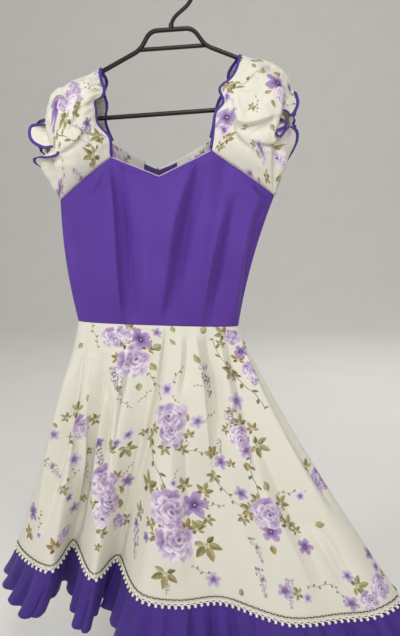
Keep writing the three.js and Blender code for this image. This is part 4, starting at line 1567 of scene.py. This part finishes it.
def plain_cloth(name, base, deep, cloudy=0.6):
    material, n, inputs = new_material(name, 0.78, Sheen_Weight=0.06, Sheen_Roughness=0.5)
    cloth_finish(n, inputs, base, 0.7, cloudy, deep)
    return material


def flowered_cloth():
    material, n, inputs = new_material("flowered_cotton", 0.75, Sheen_Weight=0.08)
    ground = n.mix(n.noise(n.position(), 5.0), "DCD8CB", "D3D1C3")
    result = ground
    for kind in KINDS:
        for index in range(kind["layers"]):
            mask, paint = kind["draw"](n, layer_name(kind, index))
            result = n.mix(mask, result, paint)
    wrong_side = n.split(n.attribute("cloth_place"))[2]
    result = n.mix(wrong_side * 0.55, result, ground)
    cloth_finish(n, inputs, result, 0.6, 0.0, "CFCCBC")
    return material


def speckled(name, roughness, tones, speck, relief, **constants):
    """Two tones mixed in specks, over a relief given by its scale, strength and depth."""
    material, n, inputs = new_material(name, roughness, **constants)
    spot = n.position()
    n.put(inputs["Base Color"], n.mix(n.noise(spot, speck), *tones))
    scale, strength, deep = relief
    n.put(inputs["Normal"], n.bump(n.noise(spot, scale), strength, deep))
    return material


def black_plastic():
    material = speckled("black_plastic", 0.3, ("0A0807", "19120F"), 22.0, (260.0, 0.08, 0.0005),
                        Specular_IOR_Level=0.35)
    n = Nodes(material.node_tree)
    scuffs = n.noise(n.position(), 130.0, 4.0)
    n.put(material.node_tree.nodes["Principled BSDF"].inputs["Roughness"], scuffs * 0.25 + 0.2)
    return material


VIOLET = plain_cloth("violet_poplin", "512990", "452184")
FLOUNCE_VIOLET = plain_cloth("flounce_poplin", "3F2082", "32176E")
EDGE_VIOLET = plain_cloth("edge_binding", "442A86", "361F70", 0.5)
LABEL_SATIN = plain_cloth("blank_label", "3E3370", "31275C", 0.4)
FLOWERED = flowered_cloth()
LACE = speckled("lace_cotton", 0.85, ("F1EEE2", "DAD5C3"), 60.0, (700.0, 0.5, 0.0006), Sheen_Weight=0.1)
# Near-black colour of the short dashes along the top edge of the lace's heading
DARK_DASH_LINE = speckled("dark_dash_line", 0.8, ("2A2622", "4B453B"), 90.0, (900.0, 0.4, 0.0004))
PLASTIC = black_plastic()


# Pieces


def sheet_area(grid):
    """Area of a grid's surface in square metres."""
    p = grid["points"]
    one = np.cross(p[1:, :-1] - p[:-1, :-1], p[:-1, 1:] - p[:-1, :-1])
    two = np.cross(p[1:, :-1] - p[1:, 1:], p[:-1, 1:] - p[1:, 1:])
    return float((length_of(one).sum() + length_of(two).sum()) / 2 * MM * MM)


def bounded_area(grid, wide, tall):
    """A sheet's area, held to what a cut of its flat size can have."""
    return max(LEAST_SHARE * wide * tall, min(wide * tall, sheet_area(grid)))


def make_bodice():
    for name in SIDES:
        grid = bodice_grid(name == "back")
        piece = cloth_shell("bodice_" + name + "_cloth", grid)
        hand_over(piece, VIOLET, ["bodice_" + name])
        width = float(grid["flat"][:, -1, 0].max() * MM)
        tall = float(grid["flat"][-1, :, 1].max() * MM)
        max(sheet_area(grid), LEAST_SHARE * width * tall)


def make_neck():
    share = BODICE["neck_share"]
    grid = bodice_grid(True, 90, 14, share, 1 - share, FACING["low"])
    depth = -(CLOTH + FACING["thick"]) / 2 - SEAM_GAP
    print_ = print_layers(grid, strewn(grid, **STREWN["facing"]))
    facing = cloth_shell("neck_facing_cloth", grid, FACING["thick"], depth, print_, (1, 0))
    hand_over(facing, FLOWERED, ["back_neck_facing"])
    low, high = grid["points"][0], grid["points"][-1]
    middle = (high[:, 0] > LABEL["left"]) & (high[:, 0] < LABEL["right"])
    way = unit(low[middle] - high[middle])
    rows = np.linspace(LABEL["below"] + LABEL["tall"], LABEL["below"], 8)
    points = high[middle][None] + way[None] * rows[:, None, None]
    normals = np.broadcast_to(grid["normals"][-1][middle][None], points.shape)
    label_grid = sheet_of(points, normals)
    depth = CLOTH / 2 + FACING["thick"] + LABEL["thick"] / 2 + 2 * SEAM_GAP
    label = cloth_shell("blank_label_cloth", label_grid, LABEL["thick"], -depth)
    hand_over(label, LABEL_SATIN, ["label"])
    # The rolled edge of the front facing, a thin pale line over the V
    front = np.linspace(share + 0.004, 1 - share - 0.004, 120)
    spots = bodice_point(front, 1.0, False) + np.array([0, 0, 1.5])
    normals = grid_normals(bodice_point(front[None], np.array([[0.97], [1.0]]), False), 1)[1]
    ups = unit(np.cross(np.gradient(spots, axis=0), normals))
    edge = strip_tube("neck_edge_roll", spots, ups, normals, 1.1, 0.8, 10, np.ones(len(spots)))
    hand_over(edge, FLOWERED, ["front_neck_edge"])


def make_skirt():
    grids = {}
    for name, start in zip(SIDES, (0.0, 0.5)):
        grid = grids[name] = skirt_grid(start, start + 0.5, *SKIRT["grid"])
        motifs = strewn(grid, **STREWN["skirt"]) if start else charted(grid, SKIRT_CHART)
        piece = cloth_shell("skirt_" + name + "_cloth", grid, CLOTH, 0.0, print_layers(grid, motifs))
        hand_over(piece, FLOWERED, ["skirt_" + name])
        outer = grid["inside"] + grid["length"].mean()
        half = min(grid["turn"], math.pi) / 2
        width = 2 * outer * math.sin(half)
        tall = outer - grid["inside"] * math.cos(half)
        area = grid["turn"] / 2 * (outer**2 - grid["inside"] ** 2)
        width * MM
        tall * MM
        "bodice_" + name
        area * MM * MM
    return grids


def hem_line(skirt, step):
    """Even places along a skirt panel's hem, with the way the cloth falls and faces there."""
    points, normals = skirt["points"], skirt["normals"]
    along = running_length(points[-1][None], 1)[0]
    places = np.linspace(0, along[-1], int(along[-1] / step))

    def at(row):
        return np.stack([np.interp(places, along, row[:, k]) for k in range(3)], axis=-1)

    fall = unit(at(points[-1]) - at(points[-4]))
    return at(points[-1]), fall, unit(at(normals[-1])), places


def flounce_grid(skirt, seed):
    """The gathered flounce under a skirt panel's hem."""
    hem_points, fall, normals, along = hem_line(skirt, FLOUNCE["step"])
    random = np.random.default_rng(seed)
    t = np.interp(along, running_length(skirt["points"][-1][None], 1)[0], skirt["t"])
    out = xyz(*(spline(HEM_FOLDS, "t", key, t % 1, 1) for key in ("out_x", "out_y")), 0)
    turn = along / FLOUNCE["pitch"] * 2 * np.pi + 0.7 * np.sin(along / 61)
    height = 1 + FLOUNCE["uneven"] * np.sin(along / 47 + 48 * seed)
    ends = np.clip(np.minimum(along, along[-1] - along) / FLOUNCE["pitch"], 0, 1)
    drop = np.sqrt(FLOUNCE["length"] ** 2 - (out**2).sum(axis=1))
    pucker = sum(random.uniform(0.4, 1.0) * np.sin(along / size * 2 * np.pi + random.uniform(0, 6))
                 for size in FLOUNCE["puckers"])
    rows = np.linspace(0, 1, FLOUNCE["rows"])[:, None]
    points = hem_points[None] + fall[None] * (SEAM_GAP + rows * drop)[..., None]
    points = points + out[None] * (rows**1.6)[..., None]
    fold = np.sin(turn) + 0.25 * np.cos(2 * turn)
    wave = FLOUNCE["wave"] * rows**0.8 * height * fold * ends
    wave = wave + 0.8 * pucker * np.sin(np.pi * np.clip(rows * 0.9, 0, 1)) ** 0.6 * ends
    points = points + normals[None] * wave[..., None]
    grid_normal = grid_normals(points, -1)
    grid_normal[0] = normals
    return sheet_of(points, grid_normal)


def make_flounces(skirts):
    for seed, (name, skirt) in enumerate(skirts.items()):
        grid = flounce_grid(skirt, seed)
        piece = cloth_shell("flounce_" + name + "_cloth", grid)
        hand_over(piece, FLOUNCE_VIOLET, ["flounce_" + name])
        "skirt_" + name


def make_lace(skirts):
    """Cotton lace over the hem: a heading, loops and drops, with short dark dashes along the heading's
    top edge.
    """
    heading, thread = LACE_SIZES["heading"], LACE_SIZES["thread"]
    for name, skirt in skirts.items():
        hem, fall, normals, along = hem_line(skirt, LACE_SIZES["pitch"] / 8)
        spots = hem + normals * LACE_SIZES["off"]
        phase = along / LACE_SIZES["pitch"]
        loop = np.abs(np.sin(np.pi * phase))[:, None]
        zigzag = 0.5 + 0.5 * np.cos(2 * np.pi * phase * 2)
        lines = (
            (spots - fall * heading, thread, 2),
            (spots - fall * 1.5, thread * 1.5, 2),
            (spots - fall * lerp(1.5, heading, zigzag)[:, None], thread, 1),
            (spots + fall * (loop * 2.6) + normals * loop, thread * 1.3, 1),
        )
        rings = [round_rings(line[::step], thick, 6) for line, thick, step in lines]
        size = np.array([0.55, 0.75, 1.0, 1.05, 0.85, 0.35]) * LACE_SIZES["bead"]
        run = np.linspace(0, LACE_SIZES["drop"], len(size))
        for k in range(4, len(along) - 4, 8):
            foot = spots[k] + fall[k] * 2.0 + normals[k] * 1.2
            rings.append(taper_rings(foot, unit(fall[k] + normals[k] * 0.15), run, size, 7))
        piece = tubes("hem_lace_" + name + "_threads", rings)
        hand_over(piece, LACE, ["hem_lace_" + name])
        # Short dark slanted dashes along the top edge of the lace's heading
        dark_dashes = []
        for k in range(6, len(along) - 6, 4):
            lean = 0.6 * (-1) ** (k // 4)
            out = normals * LACE_SIZES["off"] * 1.3
            ends = [hem[i] + out[i] - fall[i] * (heading + 0.6 + lean * s)
                    for i, s in ((k, -1), (k + 3, 1))]
            dark_dashes.append(round_rings(np.array(ends), 1.25, 6))
        hand_over(tubes("hem_dark_dash_" + name, dark_dashes), DARK_DASH_LINE)


def taper_rings(foot, way, run, sizes, sides):
    aside = unit(np.cross(way, np.array([0.0, 1.0, 0.3])))
    ahead = np.cross(way, aside)
    angle = 2 * np.pi * np.arange(sides) / sides
    circle = np.cos(angle)[:, None] * aside + np.sin(angle)[:, None] * ahead
    return np.array([foot + way * far + circle * size for far, size in zip(run, sizes)])


def make_binding(name, grid, edge, inner, beyond):
    """A rolled violet edge along one side of a sleeve, its middle a little beyond the cloth's."""
    points, normals = grid["points"], grid["normals"]
    rows = slice(1, len(points) - 1)
    spots = points[rows, edge]
    along = unit(np.gradient(points[:, edge], axis=0))[rows]
    out = unit(np.cross(along, normals[rows, edge]))
    inward = points[rows, inner] - spots
    out = np.where(((out * inward).sum(axis=1) > 0)[:, None], -out, out)
    spots = spots + out * beyond
    turn = 2 * np.pi * running_length(spots[None], 1)[0]
    uneven = 1 + 0.16 * np.sin(turn / 7.5) + 0.1 * np.sin(turn / 4.1)
    piece = strip_tube(name + "_roll", spots, normals[rows, edge], out, BINDING["thick"] / 2,
                       BINDING["width"] / 2, 12, uneven)
    hand_over(piece, EDGE_VIOLET, [name])


def make_sleeves():
    for seed, side in ((3, "left"), (4, "right")):
        grid = sleeve_grid(side)
        shown = charted(grid, SLEEVE_CHART)
        behind = {key: grid[key][len(grid["points"]) // 2:] for key in ("points", "normals", "flat")}
        motifs = shown + strewn(behind, seed, **STREWN["sleeve"], keep_clear=shown)
        piece = cloth_shell("sleeve_" + side + "_cloth", grid, CLOTH, 0.0, print_layers(grid, motifs))
        hand_over(piece, FLOWERED, ["sleeve_" + side])
        flat = grid["flat"]
        tall = float((flat[-1, :, 0] - flat[0, :, 0]).max()) * MM
        wide = float(flat[:, -1, 1].max()) * MM
        bounded_area(grid, tall, wide)
        edge = grid["points"].shape[1] - 1
        make_binding("neck_binding_" + side, grid, 0, 1, 2.4)
        make_binding("cuff_binding_" + side, grid, edge, edge - 1, 0.8)


def rounded_ring(corners, step):
    """Points along a closed path of straight runs joined by round bends: x, z, bend a corner."""
    spots = np.array([corner[:2] for corner in corners], float)
    points = []
    for i, (spot, corner) in enumerate(zip(spots, corners)):
        before = spot + unit(spots[i - 1] - spot) * corner[2]
        after = spot + unit(spots[(i + 1) % len(spots)] - spot) * corner[2]
        for f in np.linspace(0, 1, 9):
            points.append((1 - f) ** 2 * before + 2 * f * (1 - f) * spot + f * f * after)
    points = np.array(points + points[:1])
    along = running_length(points[None], 1)[0]
    places = np.linspace(0, along[-1], int(along[-1] / step))
    return np.stack([np.interp(places, along, points[:, k]) for k in (0, 1)], axis=-1)[:-1]


def hanger_part(name, path, radius, sides, nodes=(), ring=False, tip=()):
    """A round bar along a path of level x, z places, hung at the tilt; tip closes its end."""
    x, z = tilted(path[:, 0], path[:, 1])
    rings = round_rings(xyz(x, np.zeros(len(x)), z), radius, sides, ring)
    last = rings[-1].mean(axis=0)
    way = unit(last - rings[-2].mean(axis=0))
    caps = [last + (rings[-1] - last) * size + way * radius * out for size, out in tip]
    rings = np.concatenate([rings, np.array(caps)]) if caps else rings
    hand_over(tubes(name, [rings], ring), PLASTIC, nodes)


def make_hanger():
    centre, tube, neck = HANGER["centre"], HANGER["tube"], HANGER["neck"]
    top, cross, end = HANGER["top_bar"], HANGER["cross_bar"], HANGER["end"]
    half = [(bar["half"], bar["z"], bar["bend"]) for bar in (top, cross, end)]
    half.append((end["half"], HANGER["lower_bar"], end["bend"]))
    corners = half + [(-x, z, bend) for x, z, bend in reversed(half)]
    corners = [(x + centre, z, bend) for x, z, bend in corners]
    hanger_part("hanger_loop", rounded_ring(corners, 4), tube, 16, ["hanger_frame"], True)
    reach = cross["half"] + 1.5
    bar = np.linspace((centre - reach, cross["z"]), (centre + reach, cross["z"]), 12)
    hanger_part("hanger_crossbar", bar, tube * 0.9, 16)
    radius, wire = HANGER["hook_radius"], HANGER["hook_tube"]
    middle = np.array([0, wire - radius])
    start = math.radians(HANGER["hook_start"])
    joins = middle + radius * np.array([math.cos(start), math.sin(start)])
    foot = np.array([centre, top["z"] + tube * 0.4])
    rise = np.array([centre, top["z"] + tube + SEAM_GAP + neck])
    lead = joins + neck * np.array([math.sin(start), -math.cos(start)])
    f = np.linspace(0, 1, 22)[:, None]
    stem = (1 - f) ** 3 * foot + 3 * (1 - f) ** 2 * f * rise + 3 * (1 - f) * f * f * lead + f**3 * joins
    angle = np.radians(np.linspace(HANGER["hook_start"], HANGER["hook_tip"], 46))[1:]
    arc = middle + radius * np.stack([np.cos(angle), np.sin(angle)], axis=-1)
    hanger_part("hanger_hook_wire", np.concatenate([stem, arc]), wire, 14, ["hanger_hook"],
                tip=((0.9, 0.4), (0.6, 0.75), (0.25, 0.95)))
    collar = np.linspace((centre, top["z"] + tube * 0.2), (centre, top["z"] + tube + 6), 6)
    hanger_part("hanger_collar", collar, wire * 1.3, 16)


def make_stage():
    """A pale floor that sweeps up far behind, soft lights and the camera."""
    floor, wall, radius, half = (STAGE[key] for key in ("floor", "wall", "bend", "half"))
    profile = [(y, floor) for y in np.linspace(-half, wall - radius, 15)]
    for turn in np.linspace(0, math.pi / 2, 18)[1:]:
        profile.append((wall - radius + radius * math.sin(turn), floor + radius * (1 - math.cos(turn))))
    profile.append((wall, STAGE["top"]))
    vertices = [(x / MM, y / MM, z / MM) for y, z in profile for x in (-half, half)]
    faces = [[2 * i, 2 * i + 1, 2 * i + 3, 2 * i + 2] for i in range(len(profile) - 1)]
    sweep = object_from("studio_sweep", vertices, faces)
    material, n, inputs = new_material("pale_paper", 0.9)
    n.put(inputs["Base Color"], n.mix(n.noise(n.position(), 3.0), "EAE8E4", "E4E2DD"))
    sweep.data.materials.append(material)

    world = bpy.data.worlds.new("studio")
    bpy.context.scene.world = world
    world.use_nodes = True
    backdrop = world.node_tree.nodes["Background"].inputs
    backdrop["Color"].default_value = (1.0, 0.985, 0.96, 1.0)
    backdrop["Strength"].default_value = 0.4
    for name, place, size, power in LIGHTS:
        light = bpy.data.lights.new(name, "POINT")
        light.shadow_soft_size = size
        light.energy = power
        add_object(name, light, place)

    bpy.context.scene.view_settings.view_transform = "Standard"
    eye = bpy.data.cameras.new("camera")
    eye.sensor_width = CAMERA["sensor"]
    eye.lens = CAMERA["focal_pixels"] * CAMERA["sensor"] / CAMERA["frame"][1]
    camera = add_object("camera", eye, [part * MM for part in CAMERA["place"]])
    camera.rotation_euler = (math.radians(90 - CAMERA["pitch_down"]), 0, 0)
    bpy.context.scene.camera = camera


make_stage()
make_bodice()
make_neck()
skirts = make_skirt()
make_flounces(skirts)
make_lace(skirts)
make_sleeves()
make_hanger()
